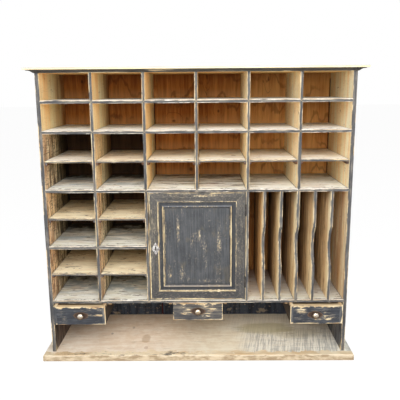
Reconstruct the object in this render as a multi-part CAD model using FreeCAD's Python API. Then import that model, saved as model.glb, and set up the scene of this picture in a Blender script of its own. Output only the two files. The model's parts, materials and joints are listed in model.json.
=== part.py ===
import FreeCAD, Part
import os

# Pigeonhole mail sorter, in millimetres. X runs left to right, Y from front to back, Z up.
# The origin is the centre of the footprint, on the surface that the base board stands on.

# ---------------------------------------------------------------- driving dimensions
# Carcass
CARCASS_W = 1150.0      # across the outside of the two side panels
INNER_DEPTH = 356.0     # front edges of the shelves to the face of the back planks
HOLE_H = 97.0           # clear height of one pigeonhole between fixed shelves
DESK_H = 202.0          # clear height between the base and the bottom board
SIDE_T = 14.0
DIVIDER_T = 11.0
SHELF_T = 12.0
TOP_T = 10.0
COLUMNS = 6
SLOTS = 6
DOOR_COLUMN = 2         # columns to the left of the cupboard
SLOT_COLUMN = 4         # columns to the left of the upright slots

# Bird's-mouth joints: the mitred tips that show on the front edges, and what is behind them
MITRE_RUN = 6.0         # how far a mitred tip runs back from the front edge
MITRE_WEB = 1.0         # wood left between two tips that face each other
HOUSING_D = 4.0         # depth of the square housing behind a tip

# Base, cornice and back
BASE_T = 26.0
BASE_SIDE_OVERHANG = 30.0
BASE_FRONT_OVERHANG = 34.0
BASE_EDGE_R = 5.0
FOOT_HOUSING = 6.0      # how deep the side panels stand in the base
CAP_T = 6.5
CAP_OVERHANG = 34.0
CAP_EDGE_R = 2.6
CORNICE_H = 11.0
CORNICE_OUT = 24.0      # how far the top of the moulding stands out
CORNICE_FOOT = 4.0      # how far its lowest fillet stands out
CORNICE_FILLET = 2.0    # flat left below and above the cove
CORNICE_LEVELS = (0.14, 0.78)   # top of the lowest fillet and of the cove, as shares of the height
COVE_MIDDLE = (0.36, 0.66)      # a point of the cove, as shares of its width and height
PLANK_T = 10.0
PLANK_SHARES = (0.1765, 0.1792, 0.1809, 0.2026, 0.0887, 0.1721)
PLANK_GAPS = (0.6, 5.0, 0.8, 0.8, 0.6)
TONGUE_T = 3.4
TONGUE_L = 8.0
TONGUE_END_GAP = 0.8
PLANK_CHAMFER = 1.4

# Loose shelves and their cleats
LOOSE_T = 8.0
LOOSE_SETBACK = 4.0
LOOSE_SIDE_GAP = 1.0
LOOSE_BACK_GAP = 2.0
LOOSE_LIFT = 0.3        # between a cleat and the shelf that rides on it
LOOSE_EDGE_R = 1.5
CLEAT_W = 8.0
CLEAT_H = 10.0
CLEAT_SETBACK = 9.0
CLEAT_BEVEL = 5.0

# Slot dividers
SCALLOP_CHORD = 153.0
SCALLOP_DEPTH = 30.0

# Door
DOOR_T = 18.0
DOOR_SIDE_GAP = 2.4     # on both sides, and room for the two hinge leaves
DOOR_TOP_GAP = 2.0
DOOR_BOTTOM_GAP = 2.5
FRAME_W = 35.0
PANEL_T = 6.0
PANEL_BACK = 8.0        # door face to panel face
PANEL_GROOVE = 6.0
MOULD_W = 24.0
MOULD_FALL = 5.0        # width of the bevels at its two edges
MOULD_TOP = 1.0         # moulding arris below the door face
MOULD_GROOVE = 5.5      # floor of its groove below the door face
MOULD_GROOVE_W = 6.5
MOULD_CREST = 2.2       # top of its inner bead below the door face
MOULD_CREST_W = 3.2
MOULD_FOOT = 0.8        # height of its inner edge above the panel

# Butt hinges
HINGE_L = 42.0
HINGE_INSET = 48.0      # door end to the nearer end of a hinge
LEAF_T = 1.0
LEAF_REACH = 15.0       # how far a leaf runs back from the door face
KNUCKLE_R = 2.8
KNUCKLE_GAP = 0.3
FINGER_GAP = 0.6        # between a leaf and the other leaf's knuckles
PIN_R = 1.3
PIN_FIT = 0.02
PIN_RUNNING_FIT = 0.06
PIN_HEAD_R = 2.3
PIN_HEAD_L = 2.0

# Lock and escutcheon
ESCUTCHEON_W = 30.0
ESCUTCHEON_H = 52.0
ESCUTCHEON_T = 1.5
ESCUTCHEON_BEVEL = 0.6  # depth of its bevelled rim
ESCUTCHEON_FACE = 0.9   # flat face as a share of the whole
ESCUTCHEON_IN = 23.2    # door edge to the middle of the keyhole
ESCUTCHEON_DROP = 5.8   # middle of the plate below the middle of the keyhole
KEYHOLE_R = 2.6
KEYHOLE_SLOT_W = 2.2
KEYHOLE_SLOT_L = 9.0
LOCK_INSET = 1.0        # lock case behind the door's edge
LOCK_W = 34.0
LOCK_H = 50.0
LOCK_T = 11.0
LOCK_WALL = 1.5
BOLT_H = 12.0
BOLT_T = 5.0
BOLT_L = 29.0
BOLT_DROP = 3.0         # bolt below the top wall of the case
BOLT_NOTCH_W = 6.0
BOLT_NOTCH_D = 4.0
BOLT_SETBACK = 0.3      # withdrawn bolt behind the door's edge
BOLT_THROW = 7.0
BOLT_CLEARANCE = 0.3
MORTISE_CLEARANCE = 1.0

# Drawers, hung on runners under the bottom board
DRAWER_H = 73.0
DRAWER_L = 300.0
OUTER_DRAWER_W = 200.0
CENTRE_DRAWER_W = 193.0
DRAWER_WALL_GAP = 6.0   # outer drawers to the side panels
DRAWER_TOP_GAP = 3.0
DRAWER_SETBACK = 12.0   # face of a closed drawer behind the front edges
DRAWER_PULL = 38.0      # how far the outer drawers stand open
DRAWER_FRONT_T = 18.0
DRAWER_SIDE_T = 12.0
DRAWER_BACK_T = 10.0
DRAWER_BACK_DROP = 4.0
DRAWER_BOTTOM_T = 5.0
DRAWER_BOTTOM_UP = 6.0
DRAWER_GROOVE_D = 4.0
RUNNER_W = 12.0
RUNNER_GAP = 4.5        # drawer side to the block of a runner
RUNNER_H = 14.0
RUNNER_SETBACK = 20.0   # a runner block's front end behind the front edges
TONGUE_H = 6.0          # the tongue that carries the drawer
TONGUE_IN = 5.5         # how far it enters the drawer's side
GROOVE_STOP = 6.0       # wood left between a drawer's front and the end of its groove
SLIDE_CLEARANCE = 0.3

# Knobs
KNOB_R = 12.0
KNOB_NECK_R = 4.5
KNOB_ROSE_R = 7.0
KNOB_ROSE_T = 1.6
KNOB_RIM = (7.5, 13.5)  # where the head's straight rim starts and ends
KNOB_TOP_R = 7.5        # flat left on the crown
KNOB_OUT = 19.0
KNOB_SHANK_R = 2.0
KNOB_SHANK_FIT = 0.05
KNOB_NUT_W = 9.0        # across the flats of the square nut
KNOB_NUT_T = 3.0
OUTER_KNOB_SHIFT = 5.0  # knobs of the outer drawers off centre, towards the cabinet's middle

# ---------------------------------------------------------------- derived levels and lines
SAME = 0.1              # two places nearer than this are taken for one
OVERALL_BACK = INNER_DEPTH + PLANK_T
OVERALL_FRONT = max(DRAWER_PULL - DRAWER_SETBACK + KNOB_OUT, BASE_FRONT_OVERHANG, CAP_OVERHANG)
FRONT = (OVERALL_FRONT - OVERALL_BACK) / 2.0
BACK = FRONT + INNER_DEPTH
REAR = BACK + PLANK_T
MIDDLE = (FRONT + BACK) / 2.0

HALF_W = CARCASS_W / 2.0
INNER_HALF = HALF_W - SIDE_T
COLUMN_W = (2.0 * INNER_HALF - (COLUMNS - 1) * DIVIDER_T) / COLUMNS
PAIR_H = 2.0 * HOLE_H + SHELF_T

BASE_TOP = BASE_T
BOTTOM_Z = BASE_TOP + DESK_H
LEFT_SHELF_Z = BOTTOM_Z + SHELF_T + PAIR_H
MAIN_Z = LEFT_SHELF_Z + SHELF_T + PAIR_H
LOWER_Z = MAIN_Z + SHELF_T + PAIR_H
UPPER_Z = LOWER_Z + SHELF_T + HOLE_H
TOP_Z = UPPER_Z + SHELF_T + HOLE_H
CARCASS_TOP = TOP_Z + TOP_T


def column_left(column):
    """X of the left wall of a column, counted from 0 at the left."""
    return -INNER_HALF + column * (COLUMN_W + DIVIDER_T)


def divider_x(number):
    """X range of an upright divider, counted from 1 at the left."""
    left = column_left(number) - DIVIDER_T
    return left, left + DIVIDER_T


SLOT_LEFT = column_left(SLOT_COLUMN)
SLOT_W = (INNER_HALF - SLOT_LEFT - (SLOTS - 1) * DIVIDER_T) / SLOTS


def slot_divider_x(number):
    """X range of a slot divider, counted from 1 at the left."""
    left = SLOT_LEFT + number * SLOT_W + (number - 1) * DIVIDER_T
    return left, left + DIVIDER_T


# ---------------------------------------------------------------- shape helpers
def box(x, y, z):
    """A block from three (low, high) pairs."""
    corner = FreeCAD.Vector(x[0], y[0], z[0])
    return Part.makeBox(x[1] - x[0], y[1] - y[0], z[1] - z[0], corner)


def prism(points, run):
    """A closed outline of vectors, extruded by the vector run."""
    wire = Part.makePolygon(points + points[:1])
    return Part.Face(wire).extrude(run)


def plan_prism(points, z):
    """An outline in X and Y, from one level to another."""
    outline = [FreeCAD.Vector(px, py, z[0]) for px, py in points]
    return prism(outline, FreeCAD.Vector(0, 0, z[1] - z[0]))


def front_prism(points, y):
    """An outline in X and Z, from one depth to another."""
    outline = [FreeCAD.Vector(px, y[0], pz) for px, pz in points]
    return prism(outline, FreeCAD.Vector(0, y[1] - y[0], 0))


def rounded(solid, radius, keep):
    """Round the edges for which keep(start, end) is true."""
    chosen = [edge for edge in solid.Edges if keep(edge.Vertexes[0].Point, edge.Vertexes[-1].Point)]
    return solid.makeFillet(radius, chosen)


def wide_board(overhang_x, overhang_y, z, radius):
    """A board wider than the carcass, flush at the back, with its front and side edges rounded."""
    half = HALF_W + overhang_x
    board = box((-half, half), (FRONT - overhang_y, REAR), z)

    def outer_edge(start, end):
        level_edge = abs(start.z - end.z) < SAME
        at_rear = abs(start.y - REAR) < SAME and abs(end.y - REAR) < SAME
        return level_edge and not at_rear

    return rounded(board, radius, outer_edge)


def cylinder_y(x, z, radius, y):
    """A round bar along Y."""
    start = FreeCAD.Vector(x, y[0], z)
    return Part.makeCylinder(radius, y[1] - y[0], start, FreeCAD.Vector(0, 1, 0))


def cylinder_z(x, y, radius, z):
    """A round bar along Z."""
    start = FreeCAD.Vector(x, y, z[0])
    return Part.makeCylinder(radius, z[1] - z[0], start, FreeCAD.Vector(0, 0, 1))


# ---------------------------------------------------------------- bird's-mouth joints
MITRE_Y = (FRONT, FRONT + MITRE_RUN)
HOUSING_Y = (FRONT + MITRE_RUN, BACK)
SHELF_TIP = (DIVIDER_T - MITRE_WEB) / 2.0
DIVIDER_TIP = (SHELF_T - MITRE_WEB) / 2.0
TOP_TIP = (TOP_T - MITRE_WEB) / 2.0


def shelf_end(x, side, z):
    """What a shelf puts into a wall at x; side is +1 when it points to the right."""
    middle = (z[0] + z[1]) / 2.0
    tip = front_prism([(x, z[0]), (x + side * SHELF_TIP, middle), (x, z[1])], MITRE_Y)
    inner = x + side * HOUSING_D
    tenon = box((min(x, inner), max(x, inner)), HOUSING_Y, z)
    return tip.fuse(tenon)


def divider_end(x, z, side, reach):
    """What a divider puts into a board at level z; side is +1 when it points up."""
    middle = (x[0] + x[1]) / 2.0
    tip = front_prism([(x[0], z), (middle, z + side * reach), (x[1], z)], MITRE_Y)
    inner = z + side * HOUSING_D
    tenon = box(x, HOUSING_Y, (min(z, inner), max(z, inner)))
    return tip.fuse(tenon)


def crossing_tips(x, z):
    """The two mitred tips of a divider that crosses a shelf, above it and below it."""
    middle = (x[0] + x[1]) / 2.0
    upper = front_prism([(x[0], z[1]), (middle, z[1] - DIVIDER_TIP), (x[1], z[1])], MITRE_Y)
    lower = front_prism([(x[0], z[0]), (middle, z[0] + DIVIDER_TIP), (x[1], z[0])], MITRE_Y)
    return [upper, lower]


def crossed_shelf(x, z, crossings, housed=()):
    """A fixed shelf, halved from behind for each divider that crosses it."""
    shelf = box(x, (FRONT, BACK), z)
    shelf = shelf.fuse([shelf_end(x[0], -1, z), shelf_end(x[1], 1, z)])
    cuts = list(housed)
    for crossing in crossings:
        cuts.append(box(crossing, (MIDDLE, BACK), z))
        cuts.extend(crossing_tips(crossing, z))
    if cuts:
        shelf = shelf.cut(cuts)
    return shelf.removeSplitter()


def crossing_divider(x, z, crossings, ends):
    """An upright divider, halved from the front for each shelf that it crosses."""
    divider = box(x, (FRONT, BACK), z).fuse(ends)
    for crossing in crossings:
        divider = divider.cut(box(x, (FRONT, MIDDLE), crossing))
        divider = divider.fuse(crossing_tips(x, crossing))
    return divider.removeSplitter()


def level(z):
    """The Z range of a fixed shelf whose underside is at z."""
    return z, z + SHELF_T


# ---------------------------------------------------------------- base, sides and top
def foot_x(side):
    """X range of a side panel; side is -1 at the left."""
    return tuple(sorted((side * HALF_W, side * INNER_HALF)))


def base_board():
    """The wide board under everything, housed for the feet of the two sides."""
    board = wide_board(BASE_SIDE_OVERHANG, BASE_FRONT_OVERHANG, (0.0, BASE_TOP), BASE_EDGE_R)
    return board.cut([foot_housing(side) for side in (-1, 1)])


def foot_housing(side):
    """The foot of a side panel, in the base."""
    return box(foot_x(side), (FRONT, BACK), (BASE_TOP - FOOT_HOUSING, BASE_TOP))


def side_panel(side):
    """An upright side, housed for every shelf that ends in it."""
    panel = box(foot_x(side), (FRONT, BACK), (BASE_TOP - FOOT_HOUSING, CARCASS_TOP))
    wall = side * INNER_HALF
    levels = [level(BOTTOM_Z), level(MAIN_Z), level(LOWER_Z), level(UPPER_Z), (TOP_Z, CARCASS_TOP)]
    if side < 0:
        levels.append(level(LEFT_SHELF_Z))
    return panel.cut([shelf_end(wall, side, z) for z in levels])


def top_board():
    """The board that closes the upper row, under the cornice."""
    z = (TOP_Z, CARCASS_TOP)
    board = box((-INNER_HALF, INNER_HALF), (FRONT, BACK), z)
    board = board.fuse([shelf_end(-INNER_HALF, -1, z), shelf_end(INNER_HALF, 1, z)])
    sockets = [divider_end(divider_x(number), TOP_Z, 1, TOP_TIP) for number in range(1, COLUMNS)]
    return board.cut(sockets)


def cornice_cap():
    """The thin board on top."""
    return wide_board(CAP_OVERHANG, CAP_OVERHANG, (CARCASS_TOP, CARCASS_TOP + CAP_T), CAP_EDGE_R)


def cornice_profile():
    """Edges of the moulding's section: fillet, cove and fillet, as (out, up) from its foot."""
    foot_rise, cove_top = [share * CORNICE_H for share in CORNICE_LEVELS]
    cove_start = (CORNICE_FOOT + CORNICE_FILLET, foot_rise)
    cove_end = (CORNICE_OUT - CORNICE_FILLET, cove_top)
    cove_middle = tuple(
        start + share * (end - start) for start, end, share in zip(cove_start, cove_end, COVE_MIDDLE)
    )
    before = [(0.0, 0.0), (CORNICE_FOOT, 0.0), (CORNICE_FOOT, foot_rise), cove_start]
    after = [cove_end, (CORNICE_OUT, cove_top), (CORNICE_OUT, CORNICE_H), (0.0, CORNICE_H)]
    return before, cove_middle, after


def moulding_section(place):
    """The moulding's section as a face; place turns (out, up) into a point."""
    before, middle, after = cornice_profile()
    lower = Part.makePolygon([place(*point) for point in before]).Edges
    cove = Part.Arc(place(*before[-1]), place(*middle), place(*after[0])).toShape()
    upper = Part.makePolygon([place(*point) for point in after + before[:1]]).Edges
    return Part.Face(Part.Wire(lower + [cove] + upper))


def cornice_moulding_front():
    """The front run of the moulding, mitred at both ends."""
    z0 = CARCASS_TOP - CORNICE_H
    reach = HALF_W + CORNICE_OUT
    section = moulding_section(lambda out, up: FreeCAD.Vector(-reach, FRONT - out, z0 + up))
    run = section.extrude(FreeCAD.Vector(2.0 * reach, 0, 0))
    outline = [
        (-HALF_W, FRONT),
        (HALF_W, FRONT),
        (reach, FRONT - CORNICE_OUT),
        (-reach, FRONT - CORNICE_OUT),
    ]
    return run.common(plan_prism(outline, (z0, CARCASS_TOP)))


def cornice_moulding_side(side):
    """A return of the moulding along one side, mitred at its front end."""
    z0 = CARCASS_TOP - CORNICE_H
    start = FRONT - CORNICE_OUT
    section = moulding_section(lambda out, up: FreeCAD.Vector(side * (HALF_W + out), start, z0 + up))
    run = section.extrude(FreeCAD.Vector(0, REAR - start, 0))
    reach = HALF_W + CORNICE_OUT
    outline = [(side * HALF_W, FRONT), (side * reach, start), (side * reach, REAR), (side * HALF_W, REAR)]
    return run.common(plan_prism(outline, (z0, CARCASS_TOP)))


# ---------------------------------------------------------------- shelves and dividers
FULL_WIDTH = (-INNER_HALF, INNER_HALF)
TALL_DIVIDERS = (1, DOOR_COLUMN, SLOT_COLUMN)
SHORT_DIVIDERS = tuple(n for n in range(1, COLUMNS) if n not in TALL_DIVIDERS)


def upper_shelf(z):
    """A full-width shelf that every divider crosses."""
    return crossed_shelf(FULL_WIDTH, level(z), [divider_x(n) for n in range(1, COLUMNS)])


def main_shelf():
    """The full-width shelf above the cupboard, crossed by the tall dividers only."""
    top = MAIN_Z + SHELF_T
    housed = [divider_end(divider_x(n), top, -1, DIVIDER_TIP) for n in SHORT_DIVIDERS]
    housed += [divider_end(slot_divider_x(n), MAIN_Z, 1, DIVIDER_TIP) for n in range(1, SLOTS)]
    crossings = [divider_x(n) for n in TALL_DIVIDERS]
    return crossed_shelf(FULL_WIDTH, level(MAIN_Z), crossings, housed)


def left_shelf():
    """The fixed shelf of the two left columns."""
    right = divider_x(DOOR_COLUMN)[0]
    return crossed_shelf((-INNER_HALF, right), level(LEFT_SHELF_Z), [divider_x(1)])


def bottom_board():
    """The full-width board under the cupboard, which carries the drawer runners."""
    top = BOTTOM_Z + SHELF_T
    housed = [divider_end(divider_x(n), top, -1, DIVIDER_TIP) for n in TALL_DIVIDERS]
    housed += [divider_end(slot_divider_x(n), top, -1, DIVIDER_TIP) for n in range(1, SLOTS)]
    return crossed_shelf(FULL_WIDTH, level(BOTTOM_Z), [], housed)


def divider(number):
    """One upright divider; the tall ones stand on the bottom board."""
    x = divider_x(number)
    tall = number in TALL_DIVIDERS
    foot = (BOTTOM_Z if tall else MAIN_Z) + SHELF_T
    crossings = [level(LOWER_Z), level(UPPER_Z)]
    if tall:
        crossings.append(level(MAIN_Z))
    if number < DOOR_COLUMN:
        crossings.append(level(LEFT_SHELF_Z))
    ends = [divider_end(x, foot, -1, DIVIDER_TIP), divider_end(x, TOP_Z, 1, TOP_TIP)]
    board = crossing_divider(x, (foot, TOP_Z), crossings, ends)
    if number == DOOR_COLUMN:
        board = board.cut([shelf_end(x[0], 1, level(LEFT_SHELF_Z)), bolt_mortise()])
    return board


def slot_divider(number):
    """An upright board between two slots, with a hollow cut in its front edge for the fingers."""
    x = slot_divider_x(number)
    z = (BOTTOM_Z + SHELF_T, MAIN_Z)
    ends = [divider_end(x, z[0], -1, DIVIDER_TIP), divider_end(x, z[1], 1, DIVIDER_TIP)]
    board = box(x, (FRONT, BACK), z).fuse(ends)
    radius = ((SCALLOP_CHORD / 2.0) ** 2 + SCALLOP_DEPTH ** 2) / (2.0 * SCALLOP_DEPTH)
    centre = FreeCAD.Vector(x[0], FRONT + SCALLOP_DEPTH - radius, (z[0] + z[1]) / 2.0)
    hollow = Part.makeCylinder(radius, DIVIDER_T, centre, FreeCAD.Vector(1, 0, 0))
    return board.cut(hollow).removeSplitter()


# ---------------------------------------------------------------- loose shelves and cleats
LOOSE_PLACES = [(column, MAIN_Z) for column in range(COLUMNS)]
LOOSE_PLACES += [(column, LEFT_SHELF_Z) for column in range(DOOR_COLUMN)]
LOOSE_PLACES += [(column, BOTTOM_Z) for column in range(DOOR_COLUMN)]


def loose_level(fixed_z):
    """The Z range of the loose shelf halfway up the space above a fixed shelf."""
    bottom = fixed_z + SHELF_T + (PAIR_H - LOOSE_T) / 2.0
    return bottom, bottom + LOOSE_T


def loose_shelf(column, fixed_z):
    """A thin shelf that lies on two cleats and pulls out."""
    left = column_left(column)
    x = (left + LOOSE_SIDE_GAP, left + COLUMN_W - LOOSE_SIDE_GAP)
    shelf = box(x, (FRONT + LOOSE_SETBACK, BACK - LOOSE_BACK_GAP), loose_level(fixed_z))
    front = FRONT + LOOSE_SETBACK + SAME
    return rounded(shelf, LOOSE_EDGE_R, lambda a, b: a.y < front and b.y < front and abs(a.x - b.x) > SAME)


def cleat(wall, side, fixed_z):
    """A strip on a wall; side is +1 when it stands out to the right. Its front end is bevelled."""
    top = loose_level(fixed_z)[0] - LOOSE_LIFT
    y0 = FRONT + CLEAT_SETBACK
    outline = [
        (y0, top),
        (BACK, top),
        (BACK, top - CLEAT_H),
        (y0 + CLEAT_BEVEL, top - CLEAT_H),
        (y0, top - CLEAT_H + CLEAT_BEVEL),
    ]
    points = [FreeCAD.Vector(wall, y, z) for y, z in outline]
    return prism(points, FreeCAD.Vector(side * CLEAT_W, 0, 0))


def shelf_cleats():
    """The two cleats under each loose shelf."""
    strips = []
    for column, fixed_z in LOOSE_PLACES:
        strips.append(cleat(column_left(column), 1, fixed_z))
        strips.append(cleat(column_left(column) + COLUMN_W, -1, fixed_z))
    return Part.makeCompound(strips)


# ---------------------------------------------------------------- back
def back_plank(x, tongue, groove):
    """One upright plank; tongue and groove say which of its edges has one."""
    outline = [(x[0], BACK + PLANK_CHAMFER), (x[0] + PLANK_CHAMFER, BACK)]
    outline += [(x[1] - PLANK_CHAMFER, BACK), (x[1], BACK + PLANK_CHAMFER)]
    outline += [(x[1], REAR), (x[0], REAR)]
    z = (BASE_TOP, CARCASS_TOP)
    plank = plan_prism(outline, z)
    y = ((BACK + REAR - TONGUE_T) / 2.0, (BACK + REAR + TONGUE_T) / 2.0)
    if tongue:
        plank = plank.fuse(box((x[1], x[1] + TONGUE_L), y, z))
    if groove > 0.0:
        depth = TONGUE_L - groove + TONGUE_END_GAP
        plank = plank.cut(box((x[0], x[0] + depth), y, z))
    return plank.removeSplitter()


def back_planks():
    """Tongued planks across the whole back; one joint has shrunk open."""
    planks = []
    left = -HALF_W
    for index, share in enumerate(PLANK_SHARES):
        right = left + share * CARCASS_W
        last = index == len(PLANK_SHARES) - 1
        end = HALF_W if last else right - PLANK_GAPS[index]
        groove = PLANK_GAPS[index - 1] if index else 0.0
        planks.append(back_plank((left, end), not last, groove))
        left = right
    return Part.makeCompound(planks)


# ---------------------------------------------------------------- door
DOOR_X = (divider_x(DOOR_COLUMN)[1] + DOOR_SIDE_GAP, divider_x(SLOT_COLUMN)[0] - DOOR_SIDE_GAP)
DOOR_Z = (BOTTOM_Z + SHELF_T + DOOR_BOTTOM_GAP, MAIN_Z - DOOR_TOP_GAP)
DOOR_Y = (FRONT, FRONT + DOOR_T)
PANEL_Y = (FRONT + PANEL_BACK, FRONT + PANEL_BACK + PANEL_T)
SIGHT_X = (DOOR_X[0] + FRAME_W, DOOR_X[1] - FRAME_W)
SIGHT_Z = (DOOR_Z[0] + FRAME_W, DOOR_Z[1] - FRAME_W)
KEYHOLE_X = DOOR_X[0] + ESCUTCHEON_IN
KEYHOLE_Z = (DOOR_Z[0] + DOOR_Z[1]) / 2.0


def corner_points(x, z, width):
    """The four corners of a rectangle and of the one inside it, both anticlockwise."""
    outer = [(x[0], z[0]), (x[1], z[0]), (x[1], z[1]), (x[0], z[1])]
    inner = [
        (x[0] + width, z[0] + width),
        (x[1] - width, z[0] + width),
        (x[1] - width, z[1] - width),
        (x[0] + width, z[1] - width),
    ]
    return outer, inner


def mitred_outline(x, z, width, side):
    """The outline of one mitred member; sides 0 to 3 are bottom, right, top and left."""
    outer, inner = corner_points(x, z, width)
    following = (side + 1) % 4
    return [outer[side], outer[following], inner[following], inner[side]]


def frame_member(side):
    """A stile or rail with mitred ends, grooved for the panel."""
    member = front_prism(mitred_outline(DOOR_X, DOOR_Z, FRAME_W, side), DOOR_Y)
    return member.cut(door_panel())


def door_panel():
    """The flat panel, held in the grooves of the frame."""
    x = (SIGHT_X[0] - PANEL_GROOVE, SIGHT_X[1] + PANEL_GROOVE)
    z = (SIGHT_Z[0] - PANEL_GROOVE, SIGHT_Z[1] + PANEL_GROOVE)
    return box(x, PANEL_Y, z)


def door_stile_left():
    """The lock stile, with the keyhole through it."""
    return frame_member(3).cut(keyhole(DOOR_Y))


def moulding_stick(side):
    """One stick of the moulding: a bevel, a groove, a raised bead and a second bevel down to the panel."""
    crest_end = MOULD_W - MOULD_FALL
    section = [
        (0.0, MOULD_TOP),
        (MOULD_FALL, MOULD_GROOVE),
        (MOULD_FALL + MOULD_GROOVE_W, MOULD_GROOVE),
        (crest_end - MOULD_CREST_W, MOULD_CREST),
        (crest_end, MOULD_CREST),
        (MOULD_W, PANEL_BACK - MOULD_FOOT),
        (MOULD_W, PANEL_BACK),
        (0.0, PANEL_BACK),
    ]
    low_x, high_x = SIGHT_X
    low_z, high_z = SIGHT_Z
    places = [
        (lambda d, y: FreeCAD.Vector(low_x, FRONT + y, low_z + d), FreeCAD.Vector(high_x - low_x, 0, 0)),
        (lambda d, y: FreeCAD.Vector(high_x - d, FRONT + y, low_z), FreeCAD.Vector(0, 0, high_z - low_z)),
        (lambda d, y: FreeCAD.Vector(low_x, FRONT + y, high_z - d), FreeCAD.Vector(high_x - low_x, 0, 0)),
        (lambda d, y: FreeCAD.Vector(low_x + d, FRONT + y, low_z), FreeCAD.Vector(0, 0, high_z - low_z)),
    ]
    place, run = places[side]
    stick = prism([place(d, y) for d, y in section], run)
    return stick.common(front_prism(mitred_outline(SIGHT_X, SIGHT_Z, MOULD_W, side), DOOR_Y))


def door_moulding():
    """The four sticks of the moulding, mitred round the panel."""
    return Part.makeCompound([moulding_stick(side) for side in range(4)])


# ---------------------------------------------------------------- hinges
PIN_X = divider_x(SLOT_COLUMN)[0] - DOOR_SIDE_GAP / 2.0
PIN_Y = FRONT - KNUCKLE_R
HINGE_BOTTOMS = (DOOR_Z[0] + HINGE_INSET, DOOR_Z[1] - HINGE_INSET - HINGE_L)
LEAF_Y = (FRONT + FINGER_GAP, FRONT + LEAF_REACH)
KNUCKLE_L = (HINGE_L - 2.0 * KNUCKLE_GAP) / 3.0


def knuckle_z(bottom, index):
    """Z range of one of a hinge's three knuckles."""
    z = bottom + index * (KNUCKLE_L + KNUCKLE_GAP)
    return z, z + KNUCKLE_L


def hinge_leaf(bottom, x, knuckles, fit):
    """A leaf in the gap beside the door, with fingers that turn into its knuckles."""
    leaf = box(x, LEAF_Y, (bottom, bottom + HINGE_L))
    for index in knuckles:
        z = knuckle_z(bottom, index)
        barrel = cylinder_z(PIN_X, PIN_Y, KNUCKLE_R, z)
        finger = box(x, (PIN_Y, LEAF_Y[0]), z)
        leaf = leaf.fuse([barrel, finger])
    bore = cylinder_z(PIN_X, PIN_Y, PIN_R + fit, (bottom, bottom + HINGE_L))
    return leaf.cut(bore).removeSplitter()


def hinge_leaves_carcass():
    """The leaves on the divider, with the outer knuckles."""
    edge = divider_x(SLOT_COLUMN)[0]
    return Part.makeCompound([hinge_leaf(z, (edge - LEAF_T, edge), (0, 2), PIN_FIT) for z in HINGE_BOTTOMS])


def hinge_leaves_door():
    """The leaves on the door's edge, with the middle knuckles."""
    edge = DOOR_X[1]
    leaves = [hinge_leaf(z, (edge, edge + LEAF_T), (1,), PIN_RUNNING_FIT) for z in HINGE_BOTTOMS]
    return Part.makeCompound(leaves)


def hinge_pins():
    """The two pins, each with a flat head on the top knuckle."""
    pins = []
    for bottom in HINGE_BOTTOMS:
        top = bottom + HINGE_L
        shaft = cylinder_z(PIN_X, PIN_Y, PIN_R, (bottom, top))
        pins.append(shaft.fuse(cylinder_z(PIN_X, PIN_Y, PIN_HEAD_R, (top, top + PIN_HEAD_L))))
    return Part.makeCompound(pins)


# ---------------------------------------------------------------- lock
LOCK_X = (DOOR_X[0] + LOCK_INSET, DOOR_X[0] + LOCK_INSET + LOCK_W)
LOCK_Y = (DOOR_Y[1], DOOR_Y[1] + LOCK_T)
LOCK_Z = (KEYHOLE_Z - LOCK_H / 2.0, KEYHOLE_Z + LOCK_H / 2.0)
BOLT_X = (DOOR_X[0] + BOLT_SETBACK, DOOR_X[0] + BOLT_SETBACK + BOLT_L)
BOLT_Y = (LOCK_Y[0] + LOCK_T / 2.0 - BOLT_T / 2.0, LOCK_Y[0] + LOCK_T / 2.0 + BOLT_T / 2.0)
BOLT_TOP = LOCK_Z[1] - LOCK_WALL - BOLT_DROP
BOLT_Z = (BOLT_TOP - BOLT_H, BOLT_TOP)


def grown(pair, by):
    """A range made larger at both ends."""
    return pair[0] - by, pair[1] + by


def keyhole(y):
    """The round and the slot of a keyhole, over a depth range."""
    slot_x = (KEYHOLE_X - KEYHOLE_SLOT_W / 2.0, KEYHOLE_X + KEYHOLE_SLOT_W / 2.0)
    slot = box(slot_x, y, (KEYHOLE_Z - KEYHOLE_SLOT_L, KEYHOLE_Z))
    return cylinder_y(KEYHOLE_X, KEYHOLE_Z, KEYHOLE_R, y).fuse(slot)


def escutcheon():
    """A diamond plate with a bevelled rim; the keyhole is in its upper half."""
    y = (FRONT - ESCUTCHEON_T, FRONT)
    middle = KEYHOLE_Z - ESCUTCHEON_DROP
    half_w = ESCUTCHEON_W / 2.0
    half_h = ESCUTCHEON_H / 2.0

    def diamond(scale):
        across = scale * half_w
        up = scale * half_h
        return [
            (KEYHOLE_X - across, middle),
            (KEYHOLE_X, middle - up),
            (KEYHOLE_X + across, middle),
            (KEYHOLE_X, middle + up),
        ]

    def ring(scale, depth):
        corners = [FreeCAD.Vector(px, depth, pz) for px, pz in diamond(scale)]
        return Part.makePolygon(corners + corners[:1])

    rings = [ring(1.0, y[1]), ring(1.0, y[0] + ESCUTCHEON_BEVEL), ring(ESCUTCHEON_FACE, y[0])]
    return Part.makeLoft(rings, True, True).cut(keyhole(y))


def lock_case():
    """The hollow case behind the stile, open where the bolt leaves it."""
    case = box(LOCK_X, LOCK_Y, LOCK_Z)
    hollow = box(grown(LOCK_X, -LOCK_WALL), grown(LOCK_Y, -LOCK_WALL), grown(LOCK_Z, -LOCK_WALL))
    window_y = grown(BOLT_Y, BOLT_CLEARANCE)
    window = box((LOCK_X[0], LOCK_X[0] + LOCK_WALL), window_y, grown(BOLT_Z, BOLT_CLEARANCE))
    return case.cut([hollow, window, keyhole((LOCK_Y[0], LOCK_Y[0] + LOCK_WALL))])


def lock_bolt():
    """The sliding bolt, withdrawn, with a notch for the key's bit."""
    bolt = box(BOLT_X, BOLT_Y, BOLT_Z)
    notch_x = (KEYHOLE_X - BOLT_NOTCH_W / 2.0, KEYHOLE_X + BOLT_NOTCH_W / 2.0)
    return bolt.cut(box(notch_x, BOLT_Y, (BOLT_Z[0], BOLT_Z[0] + BOLT_NOTCH_D)))


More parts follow.
